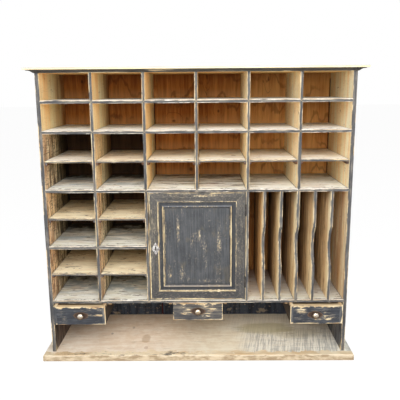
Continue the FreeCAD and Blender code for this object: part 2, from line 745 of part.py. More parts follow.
def bolt_mortise():
    """The pocket in the divider that takes the thrown bolt."""
    wall = divider_x(DOOR_COLUMN)[1]
    depth = BOLT_THROW - DOOR_SIDE_GAP + MORTISE_CLEARANCE
    y = grown(BOLT_Y, MORTISE_CLEARANCE)
    return box((wall - depth, wall), y, grown(BOLT_Z, MORTISE_CLEARANCE))


# ---------------------------------------------------------------- drawers
DRAWER_TOP = BOTTOM_Z - DRAWER_TOP_GAP
DRAWER_Z = (DRAWER_TOP - DRAWER_H, DRAWER_TOP)
KNOB_Z = (DRAWER_Z[0] + DRAWER_Z[1]) / 2.0
RUNNER_Y = (FRONT + RUNNER_SETBACK, BACK)
TONGUE_Z = (BOTTOM_Z - RUNNER_H, BOTTOM_Z - RUNNER_H + TONGUE_H)
TONGUE_Y = (FRONT + DRAWER_SETBACK + DRAWER_FRONT_T + GROOVE_STOP + SLIDE_CLEARANCE, BACK)
GROOVE_IN = TONGUE_IN + SLIDE_CLEARANCE
OUTER_LEFT_X = (-INNER_HALF + DRAWER_WALL_GAP, -INNER_HALF + DRAWER_WALL_GAP + OUTER_DRAWER_W)
OUTER_RIGHT_X = (-OUTER_LEFT_X[1], -OUTER_LEFT_X[0])
CENTRE_X = (-CENTRE_DRAWER_W / 2.0, CENTRE_DRAWER_W / 2.0)
DRAWERS = {
    "left": (OUTER_LEFT_X, DRAWER_PULL, True),
    "centre": (CENTRE_X, 0.0, False),
    "right": (OUTER_RIGHT_X, DRAWER_PULL, True),
}


def drawer_y(pull):
    """Y range of a drawer that stands open by pull."""
    start = FRONT + DRAWER_SETBACK - pull
    return start, start + DRAWER_L


def drawer_floor(x, pull):
    """The thin bottom, in grooves of the sides and the front."""
    y = drawer_y(pull)
    z = (DRAWER_Z[0] + DRAWER_BOTTOM_UP, DRAWER_Z[0] + DRAWER_BOTTOM_UP + DRAWER_BOTTOM_T)
    across = grown(x, DRAWER_GROOVE_D - DRAWER_SIDE_T)
    return box(across, (y[0] + DRAWER_FRONT_T - DRAWER_GROOVE_D, y[1]), z)


def drawer_front(x, pull, lapped):
    """The front; the sides lap its ends on the outer drawers."""
    y0 = drawer_y(pull)[0]
    across = grown(x, -DRAWER_SIDE_T) if lapped else x
    board = box(across, (y0, y0 + DRAWER_FRONT_T), DRAWER_Z)
    hole = cylinder_y(knob_x(x), KNOB_Z, KNOB_SHANK_R + KNOB_SHANK_FIT, (y0, y0 + DRAWER_FRONT_T))
    return board.cut([drawer_floor(x, pull), hole])


def drawer_side(x, pull, lapped, side):
    """One side, grooved outside for the runner and inside for the bottom."""
    y = drawer_y(pull)
    start = y[0] if lapped else y[0] + DRAWER_FRONT_T
    outer = x[0] if side < 0 else x[1]
    board = box(tuple(sorted((outer, outer - side * DRAWER_SIDE_T))), (start, y[1]), DRAWER_Z)
    groove_x = tuple(sorted((outer, outer - side * GROOVE_IN)))
    groove_y = (y[0] + DRAWER_FRONT_T + GROOVE_STOP, y[1])
    groove = box(groove_x, groove_y, grown(TONGUE_Z, SLIDE_CLEARANCE))
    return board.cut([groove, drawer_floor(x, pull)])


def drawer_back(x, pull):
    """The back, which stands on the bottom between the sides."""
    y = drawer_y(pull)
    z = (DRAWER_Z[0] + DRAWER_BOTTOM_UP + DRAWER_BOTTOM_T, DRAWER_Z[1] - DRAWER_BACK_DROP)
    return box(grown(x, -DRAWER_SIDE_T), (y[1] - DRAWER_BACK_T, y[1]), z)


def drawer_box(x, pull, lapped):
    """The two sides and the back."""
    sides = [drawer_side(x, pull, lapped, side) for side in (-1, 1)]
    return Part.makeCompound(sides + [drawer_back(x, pull)])


def knob_x(x):
    """X of the knob of a drawer that spans x."""
    middle = (x[0] + x[1]) / 2.0
    inwards = (middle < 0.0) - (middle > 0.0)
    return middle + inwards * OUTER_KNOB_SHIFT


def knob(x, pull):
    """A turned knob with its shank through the front and a square nut inside."""
    centre_x = knob_x(x)
    face = drawer_y(pull)[0]
    inside = face + DRAWER_FRONT_T
    half_nut = KNOB_NUT_W / 2.0

    def at(radius, out):
        return FreeCAD.Vector(centre_x + radius, face - out, KNOB_Z)

    outline = [
        at(0, KNOB_OUT),
        at(0, -DRAWER_FRONT_T),
        at(KNOB_SHANK_R, -DRAWER_FRONT_T),
        at(KNOB_SHANK_R, 0),
        at(KNOB_ROSE_R, 0),
        at(KNOB_ROSE_R, KNOB_ROSE_T),
        at(KNOB_NECK_R, KNOB_ROSE_T),
        at(KNOB_NECK_R, KNOB_RIM[0]),
        at(KNOB_R, KNOB_RIM[0]),
        at(KNOB_R, KNOB_RIM[1]),
        at(KNOB_TOP_R, KNOB_OUT),
    ]
    section = Part.Face(Part.makePolygon(outline + outline[:1]))
    turned = section.revolve(FreeCAD.Vector(centre_x, face, KNOB_Z), FreeCAD.Vector(0, 1, 0), 360)
    nut_x = (centre_x - half_nut, centre_x + half_nut)
    nut_z = (KNOB_Z - half_nut, KNOB_Z + half_nut)
    return turned.fuse(box(nut_x, (inside, inside + KNOB_NUT_T), nut_z))


def under_board_runner(face, side):
    """A runner beside a drawer side at X = face; side is +1 when it lies to the right of it."""
    block_start = face + side * RUNNER_GAP
    block_x = tuple(sorted((block_start, block_start + side * RUNNER_W)))
    block = box(block_x, RUNNER_Y, (BOTTOM_Z - RUNNER_H, BOTTOM_Z))
    tongue_x = tuple(sorted((face - side * TONGUE_IN, block_start)))
    return block.fuse(box(tongue_x, TONGUE_Y, TONGUE_Z)).removeSplitter()


def wall_runner(side):
    """A strip on a side panel that enters the outer drawer's groove."""
    wall = side * INNER_HALF
    inner = wall - side * (DRAWER_WALL_GAP + TONGUE_IN)
    return box(tuple(sorted((wall, inner))), TONGUE_Y, TONGUE_Z)


def drawer_runners():
    """Two runners for each drawer."""
    runners = [wall_runner(-1), wall_runner(1)]
    runners.append(under_board_runner(OUTER_LEFT_X[1], 1))
    runners.append(under_board_runner(OUTER_RIGHT_X[0], -1))
    runners.append(under_board_runner(CENTRE_X[0], -1))
    runners.append(under_board_runner(CENTRE_X[1], 1))
    return Part.makeCompound(runners)


# ---------------------------------------------------------------- every node of the assembly
def carcass_nodes():
    """What never moves."""
    nodes = {
        "base_board": base_board(),
        "side_panel_left": side_panel(-1),
        "side_panel_right": side_panel(1),
        "top_board": top_board(),
        "cornice_cap": cornice_cap(),
        "cornice_moulding_front": cornice_moulding_front(),
        "cornice_moulding_left": cornice_moulding_side(-1),
        "cornice_moulding_right": cornice_moulding_side(1),
        "bottom_board": bottom_board(),
        "left_shelf": left_shelf(),
        "main_shelf": main_shelf(),
        "lower_shelf": upper_shelf(LOWER_Z),
        "upper_shelf": upper_shelf(UPPER_Z),
        "shelf_cleats": shelf_cleats(),
        "back_planks": back_planks(),
        "drawer_runners": drawer_runners(),
        "hinge_leaves_carcass": hinge_leaves_carcass(),
        "hinge_pins": hinge_pins(),
    }
    for number in range(1, COLUMNS):
        nodes["divider_%d" % number] = divider(number)
    for number in range(1, SLOTS):
        nodes["slot_divider_%d" % number] = slot_divider(number)
    return nodes


def door_nodes():
    """The door, its hinge leaves and its lock."""
    return {
        "door_stile_left": door_stile_left(),
        "door_stile_right": frame_member(1),
        "door_rail_top": frame_member(2),
        "door_rail_bottom": frame_member(0),
        "door_panel": door_panel(),
        "door_moulding": door_moulding(),
        "escutcheon": escutcheon(),
        "hinge_leaves_door": hinge_leaves_door(),
        "lock_case": lock_case(),
        "lock_bolt": lock_bolt(),
    }


def drawer_nodes():
    """Front, box, bottom and knob of each drawer."""
    nodes = {}
    for name, (x, pull, lapped) in DRAWERS.items():
        nodes["drawer_%s_front" % name] = drawer_front(x, pull, lapped)
        nodes["drawer_%s_box" % name] = drawer_box(x, pull, lapped)
        nodes["drawer_%s_bottom" % name] = drawer_floor(x, pull)
        nodes["drawer_%s_knob" % name] = knob(x, pull)
    return nodes


def loose_nodes():
    """The loose shelves, named by row from the top and column from the left."""
    rows = {MAIN_Z: 3, LEFT_SHELF_Z: 5, BOTTOM_Z: 7}
    nodes = {}
    for column, fixed_z in LOOSE_PLACES:
        nodes["loose_shelf_r%d_c%d" % (rows[fixed_z], column + 1)] = loose_shelf(column, fixed_z)
    return nodes


def write_parts():
    """One file for each node."""
    os.makedirs("parts", exist_ok=True)
    nodes = {}
    for group in (carcass_nodes(), door_nodes(), drawer_nodes(), loose_nodes()):
        nodes.update(group)
    for name, shape in nodes.items():
        shape.exportStep("parts/%s.step" % name)
        print("%-26s %2d solids  %10.0f mm3" % (name, len(shape.Solids), shape.Volume))


write_parts()
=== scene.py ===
import json
from math import asin, cos, pi, sin

import bmesh
import bpy
from mathutils import Matrix, Vector

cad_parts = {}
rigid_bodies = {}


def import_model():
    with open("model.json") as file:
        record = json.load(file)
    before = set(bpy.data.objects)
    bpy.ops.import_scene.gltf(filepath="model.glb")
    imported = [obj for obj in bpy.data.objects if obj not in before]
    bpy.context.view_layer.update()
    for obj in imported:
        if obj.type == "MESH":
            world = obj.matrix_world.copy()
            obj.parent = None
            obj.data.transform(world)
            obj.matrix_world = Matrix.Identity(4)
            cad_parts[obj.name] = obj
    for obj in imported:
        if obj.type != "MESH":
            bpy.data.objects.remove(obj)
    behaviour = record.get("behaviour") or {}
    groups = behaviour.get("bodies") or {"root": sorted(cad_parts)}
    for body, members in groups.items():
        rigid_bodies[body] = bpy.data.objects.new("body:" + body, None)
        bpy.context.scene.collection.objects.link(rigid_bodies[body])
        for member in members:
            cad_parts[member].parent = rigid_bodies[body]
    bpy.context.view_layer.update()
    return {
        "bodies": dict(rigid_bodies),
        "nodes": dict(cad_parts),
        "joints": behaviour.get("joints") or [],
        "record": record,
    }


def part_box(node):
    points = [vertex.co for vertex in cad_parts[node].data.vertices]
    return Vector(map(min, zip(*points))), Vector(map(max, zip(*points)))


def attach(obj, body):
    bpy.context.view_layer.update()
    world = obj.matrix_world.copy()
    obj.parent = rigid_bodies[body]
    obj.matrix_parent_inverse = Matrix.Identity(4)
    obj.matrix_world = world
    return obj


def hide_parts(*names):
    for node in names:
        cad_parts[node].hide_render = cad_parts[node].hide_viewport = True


# Looks for the pigeonhole mail sorter: aged softwood, worn slate paint, nickel knobs.
# Metres, in the frame's own axes: X to the right, Y to the back, Z up.

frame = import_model()
nodes = frame["nodes"]

# ---- lines taken from the frame
MM = 0.001
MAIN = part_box("main_shelf")
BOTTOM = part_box("bottom_board")
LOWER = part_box("lower_shelf")
DOOR_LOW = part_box("door_rail_bottom")[0]
DOOR_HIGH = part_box("door_rail_top")[1]
FRONT = MAIN[0].y
BACK = MAIN[1].y
DEPTH = BACK - FRONT
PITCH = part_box("divider_2")[0].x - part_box("divider_1")[0].x
DIVIDER_T = 11 * MM
DIVIDER_1_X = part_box("divider_1")[0].x + DIVIDER_T / 2
PAIR_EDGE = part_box("divider_2")[0].x
SLOT_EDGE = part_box("divider_4")[1].x
ROWS_BETWEEN = 3  # rows from the main to the upper shelf
ROW_PITCH = (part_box("upper_shelf")[1].z - MAIN[1].z) / ROWS_BETWEEN
FRAME_W = 35  # width of the door's frame in millimetres
X, Y, Z = 0, 1, 2


# ---- colours, as they show on screen: red, green and blue from 0 to 255
SLATE_DARK = (48, 48, 50)
SLATE = (78, 78, 79)
SLATE_PALE = (112, 109, 104)
FRONT_SLATE = (76, 75, 75)
FRONT_PALE = (132, 125, 114)
WASH = (146, 136, 120)
CREAM = (200, 178, 138)
CREAM_PALE = (216, 200, 166)
TAN = (168, 134, 94)
NEAR_BLACK = (26, 22, 18)
UMBER = (70, 48, 30)
WHITE = (255, 255, 255)


def linear(colour):
    """A screen colour as linear light; a node's output stays as it is."""
    if isinstance(colour, Value):
        return colour
    shares = [value / 255 for value in colour]
    return (*(s / 12.92 if s <= 0.04045 else ((s + 0.055) / 1.055) ** 2.4 for s in shares), 1)


# ---- shader building
class Value:
    """The output of a node. Sums, differences and products of values add math nodes."""

    def __init__(self, nodes, socket):
        self.nodes, self.socket = nodes, socket

    def __add__(self, other):
        return self.nodes.math("ADD", self, other)

    def __sub__(self, other):
        return self.nodes.math("SUBTRACT", self, other)

    def __rsub__(self, other):
        return self.nodes.math("SUBTRACT", other, self)

    def __mul__(self, other):
        return self.nodes.math("MULTIPLY", self, other)

    def __abs__(self):
        return self.nodes.math("ABSOLUTE", self)

    __radd__ = __add__


class Nodes:
    """Adds nodes to the tree of a material or world. An input is a number, a vector or a Value."""

    def __init__(self, owner):
        owner.use_nodes = True
        self.tree = owner.node_tree
        self.tree.nodes.clear()

    def outputs(self, kind, inputs, **settings):
        """Add one shader node, such as "Math", and give back its outputs."""
        made = self.tree.nodes.new("ShaderNode" + kind)
        for key, value in settings.items():
            setattr(made, key, value)
        for key, value in inputs.items():
            if isinstance(value, Value):
                self.tree.links.new(value.socket, made.inputs[key])
            else:
                made.inputs[key].default_value = value
        return made.outputs

    def node(self, kind, inputs, output=0, **settings):
        """Add one node and give back one of its outputs as a value."""
        return Value(self, self.outputs(kind, inputs, **settings)[output])

    def split(self, vector):
        """The three parts of a vector."""
        return [Value(self, part) for part in self.outputs("SeparateXYZ", {0: vector})]

    def math(self, operation, a, b=0):
        return self.node("Math", {0: a, 1: b}, operation=operation)

    def smaller(self, a, b):
        return self.math("MINIMUM", a, b)

    def larger(self, a, b):
        return self.math("MAXIMUM", a, b)


class Shader(Nodes):
    """One material, placed by the object's own coordinates; its seed is added to that of each noise."""

    def __init__(self, name, seed):
        self.material = bpy.data.materials.new(name + "_finish")
        super().__init__(self.material)
        self.seed = seed
        self.place = self.node("TexCoord", {}, "Object")
        self.x, self.y, self.z = self.split(self.place)
        self.facing = self.split(self.node("TexCoord", {}, "Normal"))

    def rise(self, value, low, high):
        """0 up to low, 1 from high on, smooth between; low may be the larger one."""
        inputs = {"Value": value, "From Min": low, "From Max": high}
        return self.node("MapRange", inputs, interpolation_type="SMOOTHSTEP")

    def mix(self, share, a, b):
        """Blend two colours."""
        return self.node("Mix", {0: share, 6: linear(a), 7: linear(b)}, 2, data_type="RGBA")

    def ramp(self, value, stops):
        """A colour ramp through (place, colour) stops."""
        colours = self.node("ValToRGB", {0: value})
        elements = colours.socket.node.color_ramp.elements
        while len(elements) < len(stops):
            elements.new(0.5)
        for element, (position, colour) in zip(elements, stops):
            element.position = position
            element.color = linear(colour)
        return colours

    def noise(self, per_metre, seed, detail=4, roughness=0.7, distortion=0, place=None):
        """Noise with so many lumps to the metre along X, Y and Z."""
        number = self.seed + seed
        shift = (number, 1.7 * number, 2.3 * number)
        inputs = {"Vector": place or self.place, "Location": shift, "Scale": per_metre}
        return self.node("TexNoise", {
            "Vector": self.node("Mapping", inputs), "Scale": 1,
            "Detail": detail, "Roughness": roughness, "Distortion": distortion,
        })

    def streaks(self, axis, along, across, *rest):
        """Noise drawn out along one axis, with so many lumps to the metre along and across it."""
        scale = [across] * 3
        scale[axis] = along
        return self.noise(scale, *rest)

    def blob(self, centre, reach):
        """1 at a centre, 0 outside an ellipsoid of the given reach; None leaves an axis out."""
        total = None
        for along, middle, half in zip((self.x, self.y, self.z), centre, reach):
            if half is not None:
                offset = (along - middle) * (1 / half)
                square = offset * offset
                total = square if total is None else total + square
        return self.rise(total, 1, 0)

    def spot(self, x, z, across, up):
        """1 at a place in X and Z, 0 outside an ellipse of the given reach."""
        return self.blob((x, 0, z), (across, None, up))

    def finish(self, colour, roughness, bump, bump_mm=0.3, metallic=0, specular=0.35):
        """End in one Principled surface."""
        normal = self.node("Bump", {"Height": bump, "Distance": bump_mm * MM, "Strength": 0.8})
        surface = self.node("BsdfPrincipled", {
            "Base Color": colour, "Roughness": roughness, "Metallic": metallic,
            "Specular IOR Level": specular, "Normal": normal,
        })
        self.outputs("OutputMaterial", {0: surface})
        return self.material


def grain(t, axis, seed=0):
    """Wood grain along an axis, as a value from 0 to 1, with slow bands, streaks and fine lines."""
    bands = t.streaks(axis, 2.5, 26, seed, 3, 0.6, 0.6)
    streaks = t.streaks(axis, 7, 110, seed + 3.1, 4, 0.65)
    fine = t.streaks(axis, 26, 620, seed + 7.7, 2, 0.5)
    mixed = streaks * 0.37 + fine * 0.18 + bands * 0.45
    return t.rise(mixed, 0.36, 0.64), fine


def figure(t, axis, seed, lines):
    """Flat-sawn figure, from 0 to 1: the level lines of slow noise, drawn out along an axis."""
    return t.rise(t.math("SINE", t.streaks(axis, 2.6, 9, seed, 1.5, 0.4) * lines), 0.35, 1)


def millimetres(t, axis, *lines):
    """Distance in millimetres from the nearest of several lines across one axis."""
    nearest = None
    for line in lines:
        apart = abs((t.x, t.y, t.z)[axis] - line) * (1 / MM)
        nearest = apart if nearest is None else t.smaller(nearest, apart)
    return nearest


def margins(t, low, high):
    """How far a place lies inside a rectangle's upright and level edges, in metres."""
    return t.smaller(t.x - low.x, high.x - t.x), t.smaller(t.z - low.z, high.z - t.z)


def inset(t, low, high):
    """Millimetres inwards from the edges of a rectangle in X and Z, negative outside."""
    return t.smaller(*margins(t, low, high)) * (1 / MM)


def arris(t, distance, reach, axis, seed, gaps=0.48):
    """How much an arris adds to the wear of the paint; more of the line is left out when gaps is larger."""
    slow = t.streaks(axis, 8, 30, seed, 3, 0.6)
    return t.rise(distance, reach, 0) * t.rise(slow, gaps - 0.1, gaps + 0.08)


def worn_paint(t, axis, seed, coat, field, bare=0.65, lumps=(18, 280), tones=None):
    """Paint rubbed thin and then through, in streaks along an axis, sooner where field is large."""
    fine = t.streaks(axis, *lumps, seed, 4, 0.68)
    broad = t.streaks(axis, 8, 60, seed + 3, 3, 0.6)
    rubbed = fine * 0.6 + broad * 0.4 + field
    thin = t.mix(t.rise(rubbed, bare - 0.1, bare) * 0.4, coat, WASH)
    worn = t.rise(rubbed, bare, bare + 0.045)
    tone = t.streaks(axis, 14, 90, seed + 13, 3, 0.6)
    return t.mix(worn, thin, t.ramp(tone, tones or UNDERCOAT)), worn


# What shows where the paint is gone: tan wood, then cream undercoat; and a greyer one
UNDERCOAT = ((0.34, TAN), (0.47, CREAM), (0.66, CREAM_PALE))
GREY_UNDERCOAT = ((0.34, (176, 156, 128)), (0.47, (200, 188, 168)), (0.66, (222, 216, 204)))


def slate_paint(t, axis, seed, dark=SLATE_DARK, mid=SLATE, pale=SLATE_PALE):
    """Brushed, aged paint: brush marks along an axis, a few chalky places."""
    brush = t.streaks(axis, 10, 170, seed, 4, 0.6)
    cloud = t.noise((16, 16, 16), seed + 2, 3, 0.6)
    tone = brush * 0.6 + cloud * 0.4
    return t.ramp(tone, [(0.34, dark), (0.5, mid), (0.68, pale)]), brush


def front_mask(t):
    """1 on faces that look to the front."""
    return t.rise(t.facing[1], -0.45, -0.7)


def top_mask(t):
    """1 on faces that look up."""
    return t.rise(t.facing[2], 0.5, 0.8)


# ---- wood of the holes
def depth_share(t):
    """0 at the front edges, 1 at the back planks."""
    return (t.y - FRONT) * (1 / DEPTH)


def old_corner(t):
    """1 in the lower rows of the two left columns, where the wood is darker and split."""
    below = t.rise(t.z, LOWER[1].z, LOWER[0].z)
    left = t.rise(t.x, PAIR_EDGE + 8 * MM, PAIR_EDGE + 2 * MM)
    return below * left


def wall_wood(t):
    """The faces of the upright boards: honey in front, a pale band of painted light, browner at the back,
    partly aged wood and partly painted shade.
    """
    tone, fine = grain(t, Z)
    broad = t.streaks(Z, 3, 40, 1)
    tone = tone * 0.45 + t.rise(broad, 0.4, 0.6) * 0.55
    wobble = (t.streaks(Z, 4, 22, 2, 3, 0.6) - 0.5) * 0.8
    shorter = 1 - t.rise(t.x, PAIR_EDGE, PAIR_EDGE + 10 * MM) * 0.4
    # painted light and shade by depth: a pale band in the middle, browner towards the back, partly for age
    depth = (depth_share(t) + wobble) * shorter
    left = t.mix(tone, t.ramp(depth, WALL_DARK), t.ramp(depth, WALL_PALE))
    right = t.mix(tone, (250, 216, 156), (255, 255, 230))
    # right walls browner towards the back: partly painted shade
    right = t.mix(t.rise(depth, 0.55, 1.05), right, (160, 106, 56))
    wood = t.mix(t.rise(t.facing[0], 0.2, -0.2), left, right)
    streak = t.rise(t.streaks(Z, 7, 56, 4, 5, 0.72), 0.42, 0.58)
    smutty = t.mix(streak, t.ramp(depth, SMUT_DARK), t.ramp(depth, SMUT_PALE))
    cracks = t.rise(t.streaks(Z, 9, 70, 9, 5, 0.75), 0.54, 0.59)
    rungs = t.rise(t.noise((22, 22, 220), 10, 3, 0.7), 0.55, 0.61)
    dirt = t.larger(cracks, rungs * 0.8)
    smutty = t.mix(dirt * 0.85, smutty, (44, 35, 28))
    wood = t.mix(dirt * 0.16, wood, (120, 78, 44))
    cleaner = t.rise(t.x, DIVIDER_1_X, DIVIDER_1_X + 4 * MM) * t.rise(t.z, MAIN[0].z, MAIN[1].z)
    wood = t.mix(old_corner(t) * (1 - cleaner * 0.5), wood, smutty)
    specks = t.rise(t.noise((30, 30, 70), 12, 3, 0.6), 0.66, 0.72)
    wood = t.mix(specks * 0.6, wood, (116, 70, 36))
    return wood, fine - dirt * 0.5


# Left walls from the front edge to the back, in the dark and in the pale parts of the grain; the pale band
# in the middle is painted light, the browner back partly aged wood and partly painted shade
WALL_DARK = (
    (0, (255, 206, 140)), (0.26, (250, 196, 126)), (0.42, (244, 222, 166)),
    (0.6, (240, 210, 152)), (0.95, (128, 86, 48)),
)
WALL_PALE = (
    (0, (255, 240, 194)), (0.26, (255, 232, 176)), (0.42, (255, 250, 214)),
    (0.62, (255, 244, 198)), (0.95, (200, 150, 94)),
)
# The same in the lower rows of the two left columns
SMUT_DARK = (
    (0, (172, 124, 88)), (0.28, (146, 118, 84)), (0.5, (86, 72, 54)), (0.8, (32, 27, 21)),
)
SMUT_PALE = (
    (0, (255, 222, 178)), (0.28, (255, 236, 198)), (0.5, (250, 236, 194)),
    (0.66, (170, 154, 118)), (0.88, (64, 54, 38)),
)

# How the tops of the shelves look: front, its darker streaks, stain, share of stain, darkness at the back
PALE_TOP = ((246, 254, 255), (232, 238, 242), (216, 224, 230), 0.3, 0.1)
GREY_TOP = ((224, 234, 238), (206, 214, 218), (198, 208, 214), 0.3, 0.1)
TAN_TOP = ((248, 254, 255), (238, 234, 216), (218, 214, 196), 0.4, 0.15)
TANNED_TOP = ((250, 247, 222), (232, 220, 188), (200, 192, 160), 0.45, 0.2)
BARE_TOP = ((250, 248, 232), (238, 228, 204), (214, 206, 186), 0.2, 0)
STAINED_TOP = ((250, 255, 255), (232, 234, 222), (178, 194, 204), 0.95, 0.9)
WORN_TOP = ((238, 242, 238), (216, 216, 200), (164, 176, 180), 0.95, 0.95)


def floor_wood(t, style):
    """The tops of the shelves."""
    front, darker, stain, share, back = style
    tone, fine = grain(t, X)
    streak = t.rise(t.noise((9, 50, 40), 1, 5, 0.72), 0.42, 0.6)
    cloud = t.noise((7, 11, 30), 2, 3, 0.6)
    wood = t.mix(t.larger((1 - tone) * 0.5, streak * 0.9), front, darker)
    wood = t.mix(t.rise(cloud, 0.54, 0.64) * 0.25, wood, TAN)
    blotch = t.noise((6, 18, 5), 4, 5, 0.7, 0.5)
    at_left = 0.3 + t.rise(t.x, PAIR_EDGE + 8 * MM, PAIR_EDGE - 2 * MM) * 0.7
    middle = t.rise(depth_share(t), 0.08, 0.38) * share * at_left
    wood = t.mix(t.rise(blotch, 0.43, 0.56) * middle, wood, stain)
    ragged = (t.noise((24, 20, 5), 5, 5, 0.7) - 0.5) * 0.9
    shaded = t.rise(depth_share(t) + ragged, 0.66, 0.9)
    wood = t.mix(shaded * back * at_left, wood, (52, 50, 44))
    marks = t.noise((22, 46, 60), 6, 4, 0.72, 0.4)
    wood = t.mix(t.rise(marks, 0.6, 0.66) * 0.8, wood, (84, 68, 54))
    lines = t.noise((7, 70, 60), 8, 5, 0.75)
    wood = t.mix(at_left * 0.6 * t.rise(lines, 0.56, 0.61), wood, (112, 98, 80))
    # painted shadow: a dark line on the shelf top along the foot of each divider
    painted_wall_shadow = t.rise(from_divider(t) + (marks - 0.5) * 12, 11, 7)
    wood = t.mix(painted_wall_shadow * 0.6, wood, (62, 50, 38))
    return wood, fine - lines * 0.4


def under_wood(t):
    """The undersides of the shelves: unbleached, orange."""
    tone, _ = grain(t, X, 20)
    return t.mix(tone, (246, 178, 104), (255, 226, 154))


def from_divider(t):
    """Millimetres from the middle of the nearest divider."""
    turned = t.x - DIVIDER_1_X + PITCH / 2
    wrapped = t.math("FLOORED_MODULO", turned, PITCH)
    return abs(wrapped - PITCH / 2) * (1 / MM)


def mitre_line(t, edge):
    """A pale line where a divider's mitred tip enters a shelf; edge is the distance from the arris."""
    apart = abs(from_divider(t) + edge - DIVIDER_T / 2 / MM)
    return t.rise(apart, 1.1, 0.4)


def shelf_material(node, seed, style, loose=False):
    """A shelf: painted in front and just over its arris, pale on top, orange below."""
    gaps, bare, reach = ((0.4, 0.6), 0.63, 4.4) if loose else ((0.34, 0.46), 0.65, 7)
    t = Shader(node, seed)
    low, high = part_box(node)
    top, fine = floor_wood(t, style)
    ragged = t.noise((34, 20, 4), 15) - 0.5
    spilt = t.rise(millimetres(t, Y, low.y) - (7 + ragged * 70), 1.5, -1.5)
    top = t.mix(spilt * 0.7, top, SLATE_PALE)
    if node == "main_shelf":
        spilled = t.noise((7, 34, 5), 17, 5, 0.7)
        spilled = t.rise(spilled, 0.53, 0.6) * t.rise(t.x, PAIR_EDGE, PAIR_EDGE + 20 * MM)
        spilled = spilled * t.rise(depth_share(t) + t.x * 0.5, 0.05, 0.3)
        top = t.mix(spilled * t.rise(t.x, 0.4, 0.1), top, (104, 94, 84))
    if node == "bottom_board":
        in_slots = t.rise(t.x, SLOT_EDGE - 2 * MM, SLOT_EDGE)
        brown = 0.2 + depth_share(t) * 0.75
        top = t.mix(in_slots * brown, top, (122, 86, 62))
    wood = t.mix(t.rise(t.facing[2], 0.2, -0.2), top, under_wood(t))
    upper = millimetres(t, Z, high.z)
    lower = millimetres(t, Z, low.z)
    coat, _ = slate_paint(t, X, 30, SLATE_DARK, FRONT_SLATE, FRONT_PALE)
    above = arris(t, upper, reach, X, 41, gaps[0]) * 0.3
    under = arris(t, lower, 2.6, X, 49, gaps[1]) * 0.22
    tones = UNDERCOAT if loose else GREY_UNDERCOAT
    front, _ = worn_paint(t, X, 53, coat, t.larger(above, under), bare, (34, 200), tones)
    if not loose:
        edge = t.smaller(upper, lower)
        front = t.mix(mitre_line(t, edge) * 0.7, front, CREAM)
    return t.finish(t.mix(front_mask(t), wood, front), 0.62, fine, 0.25)


def divider_material(node, seed, gaps):
    """An upright divider: painted in front, honey wood at its sides."""
    t = Shader(node, seed)
    low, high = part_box(node)
    wood, fine = wall_wood(t)
    front = divider_front(t, low, high, gaps)
    return t.finish(t.mix(front_mask(t), wood, front), 0.6, fine, 0.25)


def divider_front(t, low, high, gaps):
    """The painted front edge of an upright board; gaps says how broken the wear of its two arrises is."""
    coat, _ = slate_paint(t, Z, 30, SLATE_DARK, FRONT_SLATE, FRONT_PALE)
    left = arris(t, millimetres(t, X, low.x), 4.6, Z, 41, gaps[0]) * 0.26
    right = arris(t, millimetres(t, X, high.x), 3.4, Z, 49, gaps[1]) * 0.24
    return worn_paint(t, Z, 53, coat, t.larger(left, right), 0.66, (34, 200))[0]


def slot_divider_material(node, seed):
    """A slot divider: the same paint, with tan side faces."""
    t = Shader(node, seed)
    low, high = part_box(node)
    tone, fine = grain(t, Z)
    broad = t.rise(t.streaks(Z, 3, 34, 1, 5, 0.75), 0.43, 0.57)
    tone = tone * 0.3 + broad * 0.7
    depth = depth_share(t) + (t.streaks(Z, 3, 16, 2, 3, 0.55) - 0.5) * 0.4
    wood = t.mix(tone, t.ramp(depth, SLOT_DARK), t.ramp(depth, SLOT_PALE))
    # painted shade: the top 80 mm of the slots, under the main shelf, darker
    shade_under_main_shelf = t.rise(t.z, MAIN[0].z - 80 * MM, MAIN[0].z)
    wood = t.mix(shade_under_main_shelf * 0.5, wood, UMBER)
    stain = t.rise(t.streaks(Z, 9, 40, 6), 0.58, 0.64)
    wood = t.mix(stain * 0.6, wood, (96, 62, 40))
    front = divider_front(t, low, high, (0.44, 0.46))
    painted = t.rise(t.facing[1], -0.3, -0.5)
    return t.finish(t.mix(painted, wood, front), 0.6, fine, 0.25)


# Walls of the slots from the front to the back, in the dark and in the pale parts of the grain; the darker
# back is partly painted shade
SLOT_DARK = (
    (0, (250, 228, 188)), (0.14, (216, 182, 136)), (0.55, (146, 112, 76)), (0.9, (44, 31, 22)),
)
SLOT_PALE = (
    (0, (255, 252, 226)), (0.14, (255, 242, 206)), (0.55, (236, 206, 158)), (0.9, (140, 106, 70)),
)


